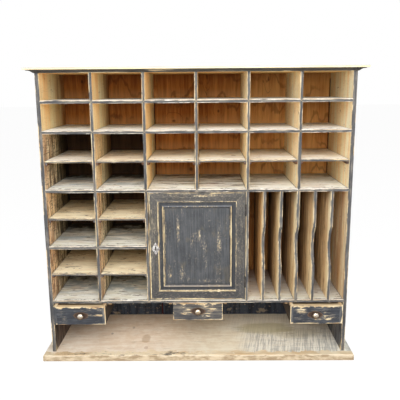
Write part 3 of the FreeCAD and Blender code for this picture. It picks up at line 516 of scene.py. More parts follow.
def side_panel_material(node, seed):
    """A side: painted outside, in front and in the desk space, bare in the holes."""
    t = Shader(node, seed)
    low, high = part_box(node)
    wood, fine = wall_wood(t)
    front = divider_front(t, low, high, (0.5, 0.48))
    outer_coat, _ = slate_paint(t, Z, 40)
    field = arris(t, millimetres(t, Y, low.y, high.y), 9, Z, 46) * 0.24
    outside, _ = worn_paint(t, Z, 44, outer_coat, field, 0.66)
    tanned = t.streaks(Z, 3, 26, 54)
    tanned = 0.25 + t.rise(tanned, 0.44, 0.6) * 0.45
    tanned = tanned * t.rise(t.z, MAIN[0].z, MAIN[0].z - 6 * MM)
    wood = t.mix(tanned * t.rise(t.x, 0, 0.1), wood, (176, 124, 80))
    soot = t.streaks(Z, 10, 60, 50, 5, 0.7)
    right = high.x > 0
    thick = (44, 48, 54) if right else NEAR_BLACK
    thin = (110, 110, 112) if right else (110, 92, 80)
    smoked = t.mix(t.rise(soot, 0.38, 0.62), thick, thin)
    foot = t.rise(t.z + depth_share(t) * 0.4, 0.09, 0.03)
    rub = (0.06 if right else 0) + foot * 0.2
    smoked, _ = worn_paint(t, Z, 52, smoked, rub, 0.66, (9, 70))
    in_desk = t.rise(t.z, BOTTOM[0].z + 2 * MM, BOTTOM[0].z - 2 * MM)
    inside = t.mix(in_desk, wood, smoked)
    outward = t.facing[0] if right else t.facing[0] * -1
    colour = t.mix(t.rise(t.larger(outward, t.facing[1]), 0.3, 0.6), inside, outside)
    return t.finish(t.mix(front_mask(t), colour, front), 0.58, fine, 0.25)


# Joints between the back planks, along X
PLANK_EDGES = (-0.575, -0.372, -0.1659, 0.0421, 0.2751, 0.3771, 0.575)


def plank_number(t):
    """A number that differs from plank to plank."""
    number = 0
    for edge in PLANK_EDGES[1:-1]:
        number = number + t.math("GREATER_THAN", t.x, edge)
    return number


PLANK_GAP_X = -0.1664  # the open joint between two planks
# Knots on the back planks: X, Z, reach across, reach up
BACK_KNOTS = (
    (-0.1, 0.906, 0.01, 0.007), (-0.484, 1.072, 0.006, 0.01), (0.042, 1.087, 0.004, 0.012),
    (0.3, 1.078, 0.004, 0.014), (0.09, 0.946, 0.006, 0.008), (-0.029, 0.698, 0.01, 0.012),
)
# Dark gaps where the planks meet a wall: X, and how high up they go
BACK_GAPS = (
    (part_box("divider_2")[1].x + 2 * MM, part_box("upper_shelf")[0].z),
    (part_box("side_panel_right")[0].x - 2 * MM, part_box("top_board")[0].z - 20 * MM),
)
# Pale splashes on the back of the desk space: X, Z, reach across, reach up, strength
DESK_SPLASHES = (
    (0.289, 0.045, 0.022, 0.012, 0.5), (-0.376, 0.034, 0.018, 0.008, 0.5),
    (0.138, 0.048, 0.014, 0.01, 0.45), (0.275, 0.036, 0.014, 0.008, 0.45),
)


def back_material(node, seed):
    """The back planks: brown behind the holes, with painted light low and painted shade high in each hole,
    black at the left below, painted in the desk space.
    """
    t = Shader(node, seed)
    tone, fine = grain(t, Z)
    bulge, knots = 0, 0
    for x, z, across, up in BACK_KNOTS:
        bulge = bulge + t.spot(x, z, across * 5, up * 6) * 0.22
        knots = t.larger(knots, t.spot(x, z, across, up))
    height = t.z * 52 + t.noise((13, 13, 4), 2, 3, 0.6) * 15
    height = bulge * 40 + plank_number(t) * 2 + height
    lines = t.rise(t.math("SINE", height), 0.78, 1)
    where = t.rise(t.noise((9, 9, 9), 3, 2, 0.5), 0.4, 0.55)
    broad = t.rise(t.streaks(Z, 3, 55, 5), 0.4, 0.6)
    tone = tone * 0.5 + broad * 0.5
    at_right = t.rise(t.x, -0.02, 0.42)
    dark = t.mix(at_right, (146, 82, 30), (190, 122, 60))
    pale = t.mix(at_right, (214, 138, 66), (244, 190, 116))
    brown = t.mix(tone, dark, pale)
    # painted light and shade: each hole's back lighter towards its floor, darker under the shelf above
    row_share = t.math("FLOORED_MODULO", (t.z - MAIN[1].z) * (1 / ROW_PITCH), 1)
    in_rows = t.rise(t.z, MAIN[0].z, MAIN[1].z)
    brown = t.mix(t.rise(row_share, 0.45, 0) * in_rows * 0.3, brown, (255, 206, 142))
    brown = t.mix(t.rise(row_share, 0.35, 1) * in_rows * 0.5, brown, (96, 38, 6))
    line_colour = t.mix(at_right, (92, 48, 18), (132, 80, 38))
    brown = t.mix(lines * where * 0.5, brown, line_colour)
    brown = t.mix(knots * 0.7, brown, (52, 28, 14))
    for line, top in BACK_GAPS:
        gap = t.rise(millimetres(t, X, line), 4, 2) * t.rise(t.z, top, top - 6 * MM)
        brown = t.mix(gap * 0.85, brown, (34, 18, 12))
    black = t.mix(tone, (22, 16, 11), (42, 32, 24))
    streaks = t.streaks(Z, 6, 60, 7, 4, 0.65)
    smoked = t.mix(t.rise(streaks, 0.38, 0.62), (40, 44, 52), (64, 70, 80))
    splash = t.rise(t.noise((34, 30, 60), 11, 5, 0.7), 0.58, 0.64)
    splash = splash * (0.08 + t.rise(t.z, 0.045, 0.03) * 0.4)
    ragged = (t.noise((80, 60, 120), 13) - 0.5) * 4
    for *place, strength in DESK_SPLASHES:
        spot = t.rise(t.spot(*place) + ragged, 0.35, 0.6)
        splash = t.larger(splash, spot * strength)
    smoked = t.mix(splash, smoked, (176, 156, 126))
    gap = t.rise(millimetres(t, X, PLANK_GAP_X), 5, 2.5)
    smoked = t.mix(gap * 0.9, smoked, (58, 14, 12))
    # painted shade: the backs of the deep, narrow slots darker
    in_slots = t.rise(t.x, PAIR_EDGE, PAIR_EDGE + 6 * MM) * t.rise(t.z, MAIN[1].z, MAIN[0].z)
    brown = t.mix(in_slots * 0.6, brown, (72, 30, 8))
    wood = t.mix(old_corner(t) * 0.94, brown, black)
    wood = t.mix(t.rise(t.z, BOTTOM[0].z + 6 * MM, BOTTOM[0].z + 2 * MM), wood, smoked)
    rear = t.mix(tone, (124, 98, 70), (190, 164, 128))
    rear = t.mix(lines * 0.25 * where, rear, (98, 74, 50))
    joint = t.rise(millimetres(t, X, *PLANK_EDGES), 1.6, 0.6)
    rear = t.mix(joint * 0.7, rear, (58, 42, 28))
    colour = t.mix(t.rise(t.facing[1], 0.3, 0.6), wood, rear)
    return t.finish(colour, 0.7, fine, specular=0.15)


def base_material(node, seed):
    """The base: bare pale wood, streaked and stained, with scraps of paint on its front arris."""
    t = Shader(node, seed)
    low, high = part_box(node)
    tone, fine = grain(t, X)
    skew = t.node("CombineXYZ", {0: t.x - t.y * 0.16, 1: t.y, 2: t.z})
    sawn = t.noise((170, 7, 10), 2, place=skew)
    crossed = t.noise((12, 90, 10), 9)
    sawn = sawn * 0.7 + crossed * 0.3
    cloud = t.noise((4, 6, 10), 3, 4, 0.55)
    streak = t.noise((7, 50, 60), 6, 5, 0.7)
    mottle = t.noise((26, 20, 20), 7)
    patchy = streak * 0.5 + mottle * 0.5
    tone = tone * 0.3 + t.rise(patchy, 0.42, 0.58) * 0.7
    lines = figure(t, X, 4, 60)
    rosy = t.mix(tone, (226, 208, 184), (242, 232, 216))
    rosy = t.mix(lines * 0.12, rosy, (216, 188, 158))
    buff = t.mix(tone, (224, 212, 186), (240, 234, 214))
    wood = t.mix(t.rise(t.x, -0.25, 0.1), rosy, buff)
    grey = t.mix(t.rise(sawn, 0.43, 0.55), (172, 172, 166), (240, 238, 226))
    at_right = t.rise((cloud - 0.5) * 0.3 + t.y * 0.28 + t.x, 0.09, 0.2)
    top = t.mix(at_right * 0.6, wood, (236, 234, 220))
    in_front = t.rise(t.y + (streak - 0.5) * 0.2, 0.07, -0.03)
    top = t.mix(at_right * (0.25 + in_front * 0.75) * 0.8, top, grey)
    for centre, reach, share, colour in BASE_STAINS:
        ragged = t.blob(centre, reach) + (crossed - 0.5) * 2
        top = t.mix(t.rise(ragged, 0.15, 0.8) * share, top, colour)
    fine_lines = t.noise((5, 110, 60), 8, 5, 0.75)
    top = t.mix(t.rise(fine_lines, 0.56, 0.64) * 0.2, top, (166, 142, 116))
    band = t.y - low.y + (t.noise((22, 30, 40), 11) - 0.5) * 0.12
    edge = t.mix(t.rise(cloud, 0.42, 0.56), (208, 182, 144), (234, 220, 190))
    top = t.mix(t.rise(band, 36 * MM, 26 * MM), top, edge)
    scraps = t.noise((14, 60, 40), 5, 5, 0.7)
    left = t.rise(band, 24 * MM, 10 * MM) * t.rise(t.x, 0.1, -0.08)
    left = left * t.rise(scraps, 0.52, 0.56)
    facing_front = t.rise(t.facing[1], -0.4, -0.8)
    mottled = t.noise((22, 40, 60), 12, 5, 0.7)
    lower_edge = t.mix(t.rise(mottled, 0.4, 0.6), (152, 133, 106), (196, 179, 152))
    lower_edge = t.mix(t.rise(t.z, low.z + 9 * MM, low.z) * 0.4, lower_edge, (146, 124, 96))
    lit = t.rise(t.z, high.z - 7 * MM, high.z - 2 * MM) * t.rise(mottled, 0.42, 0.5)
    lower_edge = t.mix(lit * 0.6, lower_edge, (215, 202, 178))
    colour = t.mix(facing_front, t.mix(left * 0.9, top, SLATE), lower_edge)
    return t.finish(colour, 0.7, fine, specular=0.2)


BASE_STAINS = (
    # middle of the stain, how far it reaches, how strong it is, its colour
    ((0.285, 0.047, 0.026), (0.17, 0.075, None), 0.6, (170, 162, 118)),
    ((0.405, 0, 0.026), (0.14, 0.07, None), 0.35, (176, 168, 132)),
    ((-0.217, -0.05, 0.026), (0.024, 0.05, None), 0.45, (166, 134, 92)),
    ((-0.209, -0.131, 0.026), (0.012, 0.018, None), 0.35, (150, 112, 76)),
    ((-0.365, -0.002, 0.026), (0.007, 0.013, None), 0.45, (84, 66, 50)),
    ((-0.281, 0.055, 0.026), (0.009, 0.014, None), 0.4, (110, 90, 66)),
)


def plain_wood_material(node, axis, dark, pale, seed, ends=None):
    """Bare wood between two colours; ends is the colour of the faces that look to the front."""
    t = Shader(node, seed)
    tone, fine = grain(t, axis)
    wood = t.mix(tone, dark, pale)
    if ends:
        spots = t.rise(t.noise((60, 60, 60), 5, 3, 0.6), 0.4, 0.6)
        share = 0.45 + t.rise(t.x, PAIR_EDGE + 20 * MM, PAIR_EDGE) * 0.5
        wood = t.mix(share * spots * front_mask(t), wood, ends)
    return t.finish(wood, 0.66, fine)


def cornice_material(node, axis, seed):
    """The painted moulding under the cap, with a few pale chips."""
    t = Shader(node, seed)
    coat, brush = slate_paint(t, axis, 0, (40, 37, 35), (62, 58, 54), (92, 86, 78))
    low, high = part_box(node)
    field = arris(t, millimetres(t, Z, low.z), 4, axis, 3) * 0.16
    chip = t.spot(-0.115, high.z - 4 * MM, 0.075, 0.007)
    field = field + chip * 0.2
    colour, _ = worn_paint(t, axis, 9, coat, field, 0.66)
    return t.finish(colour, 0.5, brush, 0.2)


def cap_material(node, seed):
    """The cap: a pale bare edge, greyer on top."""
    t = Shader(node, seed)
    tone, fine = grain(t, X)
    edge = t.mix(tone, (224, 204, 160), (240, 230, 202))
    top = t.mix(tone, (160, 140, 112), (212, 192, 158))
    stain = t.rise(t.noise((5, 7, 5), 3, 4, 0.6), 0.5, 0.66)
    top = t.mix(stain * 0.5, top, (116, 100, 80))
    colour = t.mix(top_mask(t), edge, top)
    return t.finish(colour, 0.6, fine)


# ---- door and drawers
def marks_field(t, marks, origin=(0, 0)):
    """Rubbed places, as a field: each mark has a middle and a reach in X and Z, and a strength."""
    field = 0
    for x, z, across, up, strength in marks:
        field = field + t.spot(origin[0] + x, origin[1] + z, across, up) * strength
    return field


# Millimetres in from the door's edge
BEAD_IN = 52.6  # middle of the moulding's bead
GROOVE_IN = 44.5  # middle of its groove
CRACK_IN = 59.4  # the joint between moulding and panel


def door_material(node, axis, seed):
    """Worn slate paint on the door; cream lines follow its arrises."""
    t = Shader(node, seed)
    across, up = margins(t, DOOR_LOW, DOOR_HIGH)
    depth = t.smaller(across, up) * (1 / MM)
    nearest = across - up
    middle = (DOOR_LOW + DOOR_HIGH) / 2
    beside = t.rise(nearest, 1 * MM, -1 * MM)
    at_right = beside * t.rise(t.x, middle.x - 1 * MM, middle.x + 1 * MM)
    at_top = (1 - beside) * t.rise(t.z, middle.z - 1 * MM, middle.z + 1 * MM)
    at_bottom = 1 - beside - at_top
    frame = t.rise(depth, FRAME_W, FRAME_W - 1)
    panel, brush = slate_paint(t, Z, 0, (43, 45, 48), (61, 63, 66), (81, 82, 83))
    stick, _ = slate_paint(t, axis, 1, (46, 45, 44), (66, 64, 62), (94, 90, 84))
    coat = t.mix(frame, panel, stick)
    smudge = t.noise((14, 14, 9), 5, 4, 0.65)
    coat = t.mix(t.rise(smudge, 0.52, 0.62) * 0.4, coat, (88, 80, 64))
    low_right = t.rise(t.x - (t.z - DOOR_LOW.z) * 0.5, 0, 0.16)
    low_down = t.rise(t.z, DOOR_LOW.z + 0.1, DOOR_LOW.z + 0.03)
    coat = t.mix(t.larger(low_right, low_down) * 0.4, coat, (50, 50, 53))
    scratch = t.rise(t.streaks(axis, 110, 250, 7, 3, 0.7), 0.57, 0.64)
    coat = t.mix(scratch * (0.1 + frame * 0.34), coat, (150, 138, 116))
    # painted highlight: the lit face of the bead, bluish grey at the top rail, pale grey at the bottom
    bead_highlight = t.rise(abs(depth - BEAD_IN), 3.6, 2.2)
    coat = t.mix(bead_highlight * at_top * 0.5, coat, (112, 116, 122))
    coat = t.mix(bead_highlight * at_bottom * 0.8, coat, (148, 138, 128))
    # painted shade: the moulding's groove darker all round
    groove_shade = t.rise(abs(depth - GROOVE_IN), 5.5, 3.5)
    coat = t.mix(groove_shade * 0.7, coat, (36, 38, 42))
    mitre = t.rise(abs(nearest), 1.6 * MM, 0.6 * MM) * frame
    mitre = mitre * t.rise(t.z, middle.z, middle.z + 0.05)
    coat = t.mix(mitre * 0.34, coat, (150, 140, 120))
    field = 0
    for place, reach, gaps, shares in DOOR_LINES:
        left, right, top, bottom = shares
        strength = left + at_right * (right - left)
        strength = strength + at_top * (top - left)
        strength = strength + at_bottom * (bottom - left)
        line = arris(t, abs(depth - place), reach, axis, place, gaps)
        field = t.larger(field, line * strength)
    field = field + marks_field(t, DOOR_MARKS)
    colour, worn = worn_paint(t, axis, 9, coat, field, 0.67, (100, 260), DOOR_UNDERCOAT)
    crack = t.rise(abs(depth - CRACK_IN), 1.5, 0.7)
    colour = t.mix(crack * 0.6, colour, (30, 28, 26))
    height = brush * 0.3 - worn * 0.5
    return t.finish(colour, 0.44 + worn * 0.16, height)


DOOR_UNDERCOAT = ((0.36, (140, 120, 90)), (0.5, (182, 162, 124)), (0.64, (214, 198, 162)))
# Arris lines of the door: millimetres in from its edge, reach, how broken they are,
# and their strength at the left, right, top and bottom
DOOR_LINES = (
    (1.5, 5.4, 0.4, (0.34, 0, 0.22, 0.2)), (34.6, 4.6, 0.38, (0.34, 0.15, 0.21, 0.4)),
    (53, 4.4, 0.38, (0.28, 0.36, 0.14, 0.16)), (57, 3.6, 0.46, (0.26, 0.2, 0.1, 0.1)),
)
# Rubbed places on the door: middle in X and Z, reach in X and Z, strength
DOOR_MARKS = (
    (-0.072, 0.52, 0.008, 0.1, 0.16), (-0.12, 0.508, 0.007, 0.08, 0.1), (-0.105, 0.35, 0.01, 0.06, 0.1),
    (-0.001, 0.497, 0.018, 0.035, 0.11), (-0.02, 0.475, 0.012, 0.045, 0.11),
    (0.01, 0.43, 0.04, 0.09, 0.04), (-0.061, 0.343, 0.02, 0.045, 0.12),
    (0.084, 0.446, 0.014, 0.16, 0.095), (0.084, 0.454, 0.012, 0.03, 0.02),
    (-0.102, 0.339, 0.01, 0.01, 0.08), (-0.037, 0.322, 0.012, 0.01, 0.08),
    (0.06, 0.53, 0.01, 0.09, 0.07), (-0.06, 0.65, 0.12, 0.01, 0.13), (0.05, 0.651, 0.08, 0.01, 0.13),
    (0, 0.632, 0.15, 0.006, 0.08), (0.051, 0.276, 0.009, 0.007, 0.2), (0.082, 0.276, 0.009, 0.007, 0.2),
    (0.165, 0.453, 0.024, 0.2, 0.05), (-0.144, 0.487, 0.006, 0.022, 0.15),
    (-0.03, 0.245, 0.14, 0.005, 0.16), (-0.165, 0.5, 0.02, 0.16, 0.07), (0.05, 0.315, 0.08, 0.01, 0.08),
)


def drawer_front_material(node, seed, marks, coat_tones):
    """A drawer front: blue-black paint, rubbed pale round its edges, worn at the knob and with a painted
    shadow under it.
    """
    t = Shader(node, seed)
    low, high = (corner.copy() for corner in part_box(node))
    side_low, side_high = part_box(node.replace("_front", "_box"))
    low.x = min(low.x, side_low.x)
    high.x = max(high.x, side_high.x)
    middle = ((low.x + high.x) / 2, (low.z + high.z) / 2)
    knob_low, knob_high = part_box(node.replace("_front", "_knob"))
    coat, brush = slate_paint(t, X, 0, *coat_tones)
    edge = inset(t, low, high)
    field = arris(t, edge, 5.6, X, 3, 0.44) * 0.27
    wobble = (t.noise((30, 5, 5), 21, 3, 0.6) - 0.5) * 0.03
    top = t.rise(high.z - t.z + wobble, 10 * MM, 5 * MM)
    field = t.larger(field, top * 0.24)
    field = field + marks_field(t, marks, middle)
    colour, worn = worn_paint(t, X, 9, coat, field, 0.66, (46, 210))
    # painted shadow under the knob, mixed with wear: a dark brown eye just below it
    ragged = t.streaks(X, 50, 120, 15, 4, 0.65)
    knob_shadow = t.spot((knob_low.x + knob_high.x) / 2, middle[1] - 1 * MM, 0.036, 0.018)
    knob_shadow_and_wear = ragged - 0.5 + knob_shadow
    colour = t.mix(t.rise(knob_shadow_and_wear, 0.2, 0.36) * 0.9, colour, (88, 66, 46))
    colour = t.mix(t.rise(knob_shadow_and_wear, 0.45, 0.6) * 0.8, colour, (46, 30, 22))
    colour = t.mix(top_mask(t), colour, t.mix(brush, TAN, CREAM_PALE))
    return t.finish(colour, 0.48, brush * 0.3 - worn * 0.5)


DRAWER_COAT = ((29, 32, 37), (46, 49, 55), (80, 82, 86))
OLD_DRAWER_COAT = ((40, 40, 42), (66, 65, 66), (120, 112, 98))
# Rubbed places on the drawer fronts, from the middle: X, Z, reach in X and Z, strength
DRAWER_MARKS = {
    "left": (
        (-0.068, 0.004, 0.03, 0.026, 0.1), (-0.062, -0.024, 0.026, 0.014, 0.08),
        (0.05, 0, 0.06, 0.008, 0.13), (0.02, 0.022, 0.06, 0.016, 0.04),
        (0.078, 0.012, 0.022, 0.026, 0.07),
    ),
    "centre": (
        (0.044, 0.014, 0.054, 0.02, 0.12), (-0.045, -0.004, 0.046, 0.022, 0.12),
        (0.034, -0.016, 0.046, 0.016, 0.11), (-0.06, 0.02, 0.04, 0.014, 0.11),
        (0, 0, 0.12, 0.04, 0.03),
    ),
    "right": (
        (-0.06, 0.008, 0.034, 0.03, 0.13), (0.045, -0.006, 0.044, 0.02, 0.13),
        (0.01, -0.024, 0.08, 0.01, 0.1), (0.03, 0.018, 0.06, 0.016, 0.09),
    ),
}


def drawer_box_material(node, seed):
    """The sides and back of a drawer: paint on the front ends, smoky wood elsewhere."""
    t = Shader(node, seed)
    low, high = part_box(node)
    coat, _ = slate_paint(t, Z, 0, (40, 42, 46), (62, 64, 68), (96, 96, 96))
    field = arris(t, inset(t, low, high), 9, Z, 3) * 0.26
    front, _ = worn_paint(t, Z, 5, coat, field + 0.03, 0.64)
    tone, fine = grain(t, Y, 9)
    outer = t.mix(tone, (38, 32, 28), (74, 64, 54))
    inner = t.mix(tone, (160, 124, 82), (206, 172, 124))
    rim = t.mix(tone, (186, 158, 118), (238, 222, 188))
    beyond = t.smaller(abs(t.x - low.x), abs(high.x - t.x))
    wood = t.mix(t.rise(beyond, 8 * MM, 5 * MM), inner, outer)
    wood = t.mix(top_mask(t), wood, rim)
    return t.finish(t.mix(front_mask(t), wood, front), 0.58, fine)


# ---- metal
def metal_material(name, base, worn, roughness, seed, keyhole=None, below=None):
    """Scratched, tarnished metal; keyhole lists painted shade in a keyhole and dirt round it, below is the
    colour of faces that look down, a painted reflection.
    """
    t = Shader(name, seed)
    cloud = t.noise((120, 120, 120), 0, 4, 0.6)
    fine = t.noise((900, 300, 900), 2, 2, 0.5)
    colour = t.mix(t.rise(cloud, 0.42, 0.62), base, worn)
    if keyhole:
        ragged = (t.noise((260, 260, 160), 4, 3, 0.6) - 0.5) * 1.6
        for *place, share in keyhole:
            # painted shade in the keyhole, dirt round it
            dirt = t.rise(t.spot(*place) + ragged, 0.1, 0.6)
            colour = t.mix(dirt * share, colour, (52, 42, 38))
    # painted reflection: faces that look down take the colour of the wood beneath
    if below:
        colour = t.mix(t.rise(t.facing[2], 0.25, -0.35), colour, below)
    rough = roughness + t.rise(cloud, 0.4, 0.65) * 0.15
    return t.finish(colour, rough, fine, 0.05, metallic=1, specular=0.5)


# Painted shade in the keyhole's opening, and dirt round it: X, Z, reach across, reach up, strength
KEYHOLE_SHADE_AND_DIRT = (
    (-0.1577, 0.4475, 0.0034, 0.012, 0.9), (-0.153, 0.44, 0.005, 0.01, 0.5),
    (-0.163, 0.435, 0.004, 0.008, 0.4),
)


def assign(name, material):
    """Give a CAD node one material."""
    slots = nodes[name].data.materials
    slots.clear()
    slots.append(material)


def dress(node, maker, *rest):
    """Give a CAD node the material that a maker makes for it."""
    assign(node, maker(node, *rest))


def dress_carcass():
    """Materials of everything that never moves."""
    styles = {
        "bottom_board": WORN_TOP, "left_shelf": WORN_TOP, "main_shelf": STAINED_TOP,
        "lower_shelf": PALE_TOP, "upper_shelf": GREY_TOP, "top_board": TAN_TOP,
    }
    for seed, (name, style) in enumerate(styles.items()):
        dress(name, shelf_material, 1.3 + 4.1 * seed, style)
    for number in range(1, 6):
        gaps = (0.34, 0.46) if number == 4 else (0.42, 0.5)
        dress("divider_%d" % number, divider_material, 2.9 + 5.3 * number, gaps)
        dress("slot_divider_%d" % number, slot_divider_material, 41 + 3.7 * number)
    dress("side_panel_left", side_panel_material, 61)
    dress("side_panel_right", side_panel_material, 67)
    dress("back_planks", back_material, 71)
    dress("base_board", base_material, 75)
    dress("cornice_cap", cap_material, 79)
    dress("cornice_moulding_front", cornice_material, X, 83)
    dress("cornice_moulding_left", cornice_material, Y, 87)
    dress("cornice_moulding_right", cornice_material, Y, 87)
    dark = (58, 34, 24)
    dress("shelf_cleats", plain_wood_material, Y, dark, (124, 84, 56), 91, (112, 112, 116))
    dress("drawer_runners", plain_wood_material, Y, dark, (190, 160, 118), 93)


def dress_door():
    """Materials of the door and its metal."""
    grains = {
        "door_stile_left": Z, "door_stile_right": Z, "door_rail_top": X,
        "door_rail_bottom": X, "door_panel": Z, "door_moulding": Z,
    }
    for seed, (name, axis) in enumerate(grains.items()):
        dress(name, door_material, axis, 101 + 6.1 * seed)
    steel = metal_material("hinge_steel", (62, 60, 58), (96, 90, 84), 0.5, 141)
    for name in ("hinge_leaves_carcass", "hinge_leaves_door", "hinge_pins", "lock_case"):
        assign(name, steel)
    add_screws(metal_material("screw_steel", (120, 116, 110), (84, 72, 60), 0.42, 147))
    white = metal_material("white_metal", (204, 202, 198), (132, 122, 120), 0.38, 143, KEYHOLE_SHADE_AND_DIRT)
    assign("escutcheon", white)
    add_escutcheon_pins(white)
    assign("lock_bolt", metal_material("bolt_brass", (204, 170, 104), (150, 118, 70), 0.4, 145))


def dress_drawers():
    """Materials of the drawers and their knobs."""
    # painted reflection of the wood below, on the lower faces of the knobs
    below = (120, 98, 74)
    nickel = metal_material("nickel", (214, 206, 192), (176, 158, 130), 0.2, 151, below=below)
    for seed, (side, marks) in enumerate(DRAWER_MARKS.items()):
        name = "drawer_%s_" % side
        coat = OLD_DRAWER_COAT if side == "centre" else DRAWER_COAT
        dress(name + "front", drawer_front_material, 161 + 7 * seed, marks, coat)
        dress(name + "box", drawer_box_material, 191 + 7 * seed)
        dress(name + "bottom", plain_wood_material, X, (140, 104, 66), (196, 160, 112), 211 + seed)
    add_knobs(nickel)


def dress_loose_shelves():
    """Materials of the loose shelves."""
    names = sorted(name for name in nodes if name.startswith("loose_shelf"))
    for seed, name in enumerate(names):
        style = BARE_TOP if name.endswith("_r3_c2") else TAN_TOP if "_r3_" in name else TANNED_TOP
        dress(name, shelf_material, 221 + 5.7 * seed, style, True)


# ---- pieces
def add_object(name, data):
    """Link a mesh, lamp or camera as an object."""
    made = bpy.data.objects.new(name, data)
    bpy.context.scene.collection.objects.link(made)
    return made


def build(name, maker, material, smooth=True):
    """Make a mesh with bmesh, as an object with one material."""
    work = bmesh.new()
    maker(work)
    bmesh.ops.recalc_face_normals(work, faces=work.faces)
    mesh = bpy.data.meshes.new(name)
    work.to_mesh(mesh)
    work.free()
    for face in mesh.polygons:
        face.use_smooth = smooth
    mesh.materials.append(material)
    return add_object(name, mesh)


def ring(work, place, points):
    """New vertices, at points in millimetres from a place."""
    return [work.verts.new([at + value * MM for at, value in zip(place, point)]) for point in points]


def skin(work, rings, capped=False):
    """Faces from each ring to the next, and over the two ends if capped; a ring may be one vertex."""
    if capped:
        work.faces.new(rings[0])
        work.faces.new(rings[-1])
    for low, high in zip(rings, rings[1:]):
        count = max(len(low), len(high))
        for step in range(count):
            corners = (low, step), (low, step + 1), (high, step + 1), (high, step)
            unique = dict.fromkeys(loop[index % len(loop)] for loop, index in corners)
            work.faces.new(list(unique))


def lathe(work, profile, place, sides):
    """Turn a profile of (radius, distance out) round an axis that points to the front."""
    turns = [2 * pi * step / sides for step in range(sides)]
    rings = []
    for radius, out in profile:
        here = turns if radius else turns[:1]
        points = [(radius * cos(turn), -out, radius * sin(turn)) for turn in here]
        rings.append(ring(work, place, points))
    skin(work, rings)


def curve_point(p, q, r, s, u):
    """The number at a share u of the way from q to r, on a smooth line (Catmull-Rom)."""
    bend = (2 * p - 5 * q + 4 * r - s) * u * u
    return 0.5 * (2 * q + (r - p) * u + bend + (3 * q - p - 3 * r + s) * u ** 3)


def smooth_curve(points, steps):
    """Points on a smooth line through the given ones."""
    line = []
    padded = [points[0], *points, points[-1]]
    for four in zip(padded, padded[1:], padded[2:], padded[3:]):
        for step in range(steps):
            line.append([curve_point(*numbers, step / steps) for numbers in zip(*four)])
    return line + [points[-1]]


KNOB_SIDES = 40
# The knob: radius and distance out from the drawer's face, in millimetres
KNOB_HEAD = (
    (4.5, 3.2), (4.5, 5.6), (5.4, 7), (8.6, 7.6), (11.2, 8.6), (12, 10.4), (12, 12.4),
    (11.3, 14.8), (9.6, 16.8), (7, 18.2), (3.6, 18.9),
)
KNOB_OUT = 19
KNOB_ROSE = ((7, 0), (7, 1.1), (6.6, 1.55), (5.6, 1.9), (4.9, 2.4))
KNOB_SHANK = ((0, -20), (2, -20), (2, -17.9), (2, 0))
# The nut inside the drawer: its corners, and how deep and how wide each ring of them is
NUT_CORNERS = ((-4.5, -4.5), (4.5, -4.5), (4.5, 4.5), (-4.5, 4.5))
NUT_RINGS = ((18, 1), (20.5, 1), (21, 0.86))


def knob_mesh(place):
    """A turned knob with its rose, its screw and the nut inside the drawer."""
    def make(work):
        profile = [*KNOB_SHANK, *KNOB_ROSE, *smooth_curve(KNOB_HEAD, 3), (0, KNOB_OUT)]
        lathe(work, profile, place, KNOB_SIDES)
        rings = [
            ring(work, place, [(a * share, deep, b * share) for a, b in NUT_CORNERS])
            for deep, share in NUT_RINGS
        ]
        skin(work, rings, True)
    return make


def add_knobs(material):
    """Smooth knobs in place of the faceted ones."""
    for side in DRAWER_MARKS:
        node = "drawer_%s_knob" % side
        low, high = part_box(node)
        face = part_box("drawer_%s_front" % side)[0].y
        place = ((low.x + high.x) / 2, face, (low.z + high.z) / 2)
        piece = build("knob_" + side, knob_mesh(place), material)
        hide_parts(node)
        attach(piece, "drawer_" + side)


SCREW_RADIUS = 2.4  # millimetres
SCREW_SLOT = 0.16  # half the width of the slot, as a share of the radius
SCREW_STEPS = 12  # steps round half a head
# Shares of the radius and of the height at each ring of a head
SCREW_RINGS = ((1, 0), (1, 0.45), (0.8, 1))


def screw_heads(work, places, axis, sign, rise):
    """Slotted screw heads that lie on a face; axis and sign say which way they look."""
    start = asin(SCREW_SLOT)
    turns = [start + (pi - 2 * start) * step / SCREW_STEPS for step in range(SCREW_STEPS + 1)]
    for index, place in enumerate(places):
        angle = 0.6 + 1.9 * index
        for half in (1, -1):
            rings = []
            for share, height in SCREW_RINGS:
                points = []
                for turn in turns:
                    a = half * cos(turn) * share
                    b = half * (SCREW_SLOT + (sin(turn) - SCREW_SLOT) * share)
                    u = (a * cos(angle) - b * sin(angle)) * SCREW_RADIUS
                    v = (a * sin(angle) + b * cos(angle)) * SCREW_RADIUS
                    out = sign * height * rise
                    points.append((out, u, v) if axis == X else (u, out, v))
                rings.append(ring(work, place, points))
            skin(work, rings, True)


def add_screws(material):
    """Screws of the hinge leaves and of the lock."""
    carcass_low, carcass_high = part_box("hinge_leaves_carcass")
    leaf_y = (carcass_low.y + 10 * MM, carcass_high.y - 6 * MM)
    places = {"carcass": [], "door": []}
    for bottom in (carcass_low.z, carcass_high.z - HINGE_L):
        for share, row in LEAF_SCREWS:
            z = bottom + share * HINGE_L
            places["carcass"].append((CARCASS_LEAF_FACE, leaf_y[row], z))
            places["door"].append((DOOR_LEAF_FACE, leaf_y[row], z))
    for body, sign in (("carcass", -1), ("door", 1)):
        piece = build(
            "hinge_screws_" + body,
            lambda work: screw_heads(work, places[body], X, sign, 0.06), material, False
        )
        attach(piece, body)
    low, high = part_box("lock_case")
    across = (low.x + 5 * MM, high.x - 5 * MM)
    up = (low.z + 5 * MM, high.z - 5 * MM)
    inside = [(x, high.y, z) for x in across for z in up]
    piece = build("lock_screws", lambda work: screw_heads(work, inside, Y, 1, 0.9), material, False)
    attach(piece, "door")


HINGE_L = 42 * MM
LEAF_T = 1 * MM
LEAF_SCREWS = ((0.17, 0), (0.5, 1), (0.83, 0))  # share of the leaf's length, and front or back row
CARCASS_LEAF_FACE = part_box("divider_4")[0].x - LEAF_T
DOOR_LEAF_FACE = DOOR_HIGH.x + LEAF_T


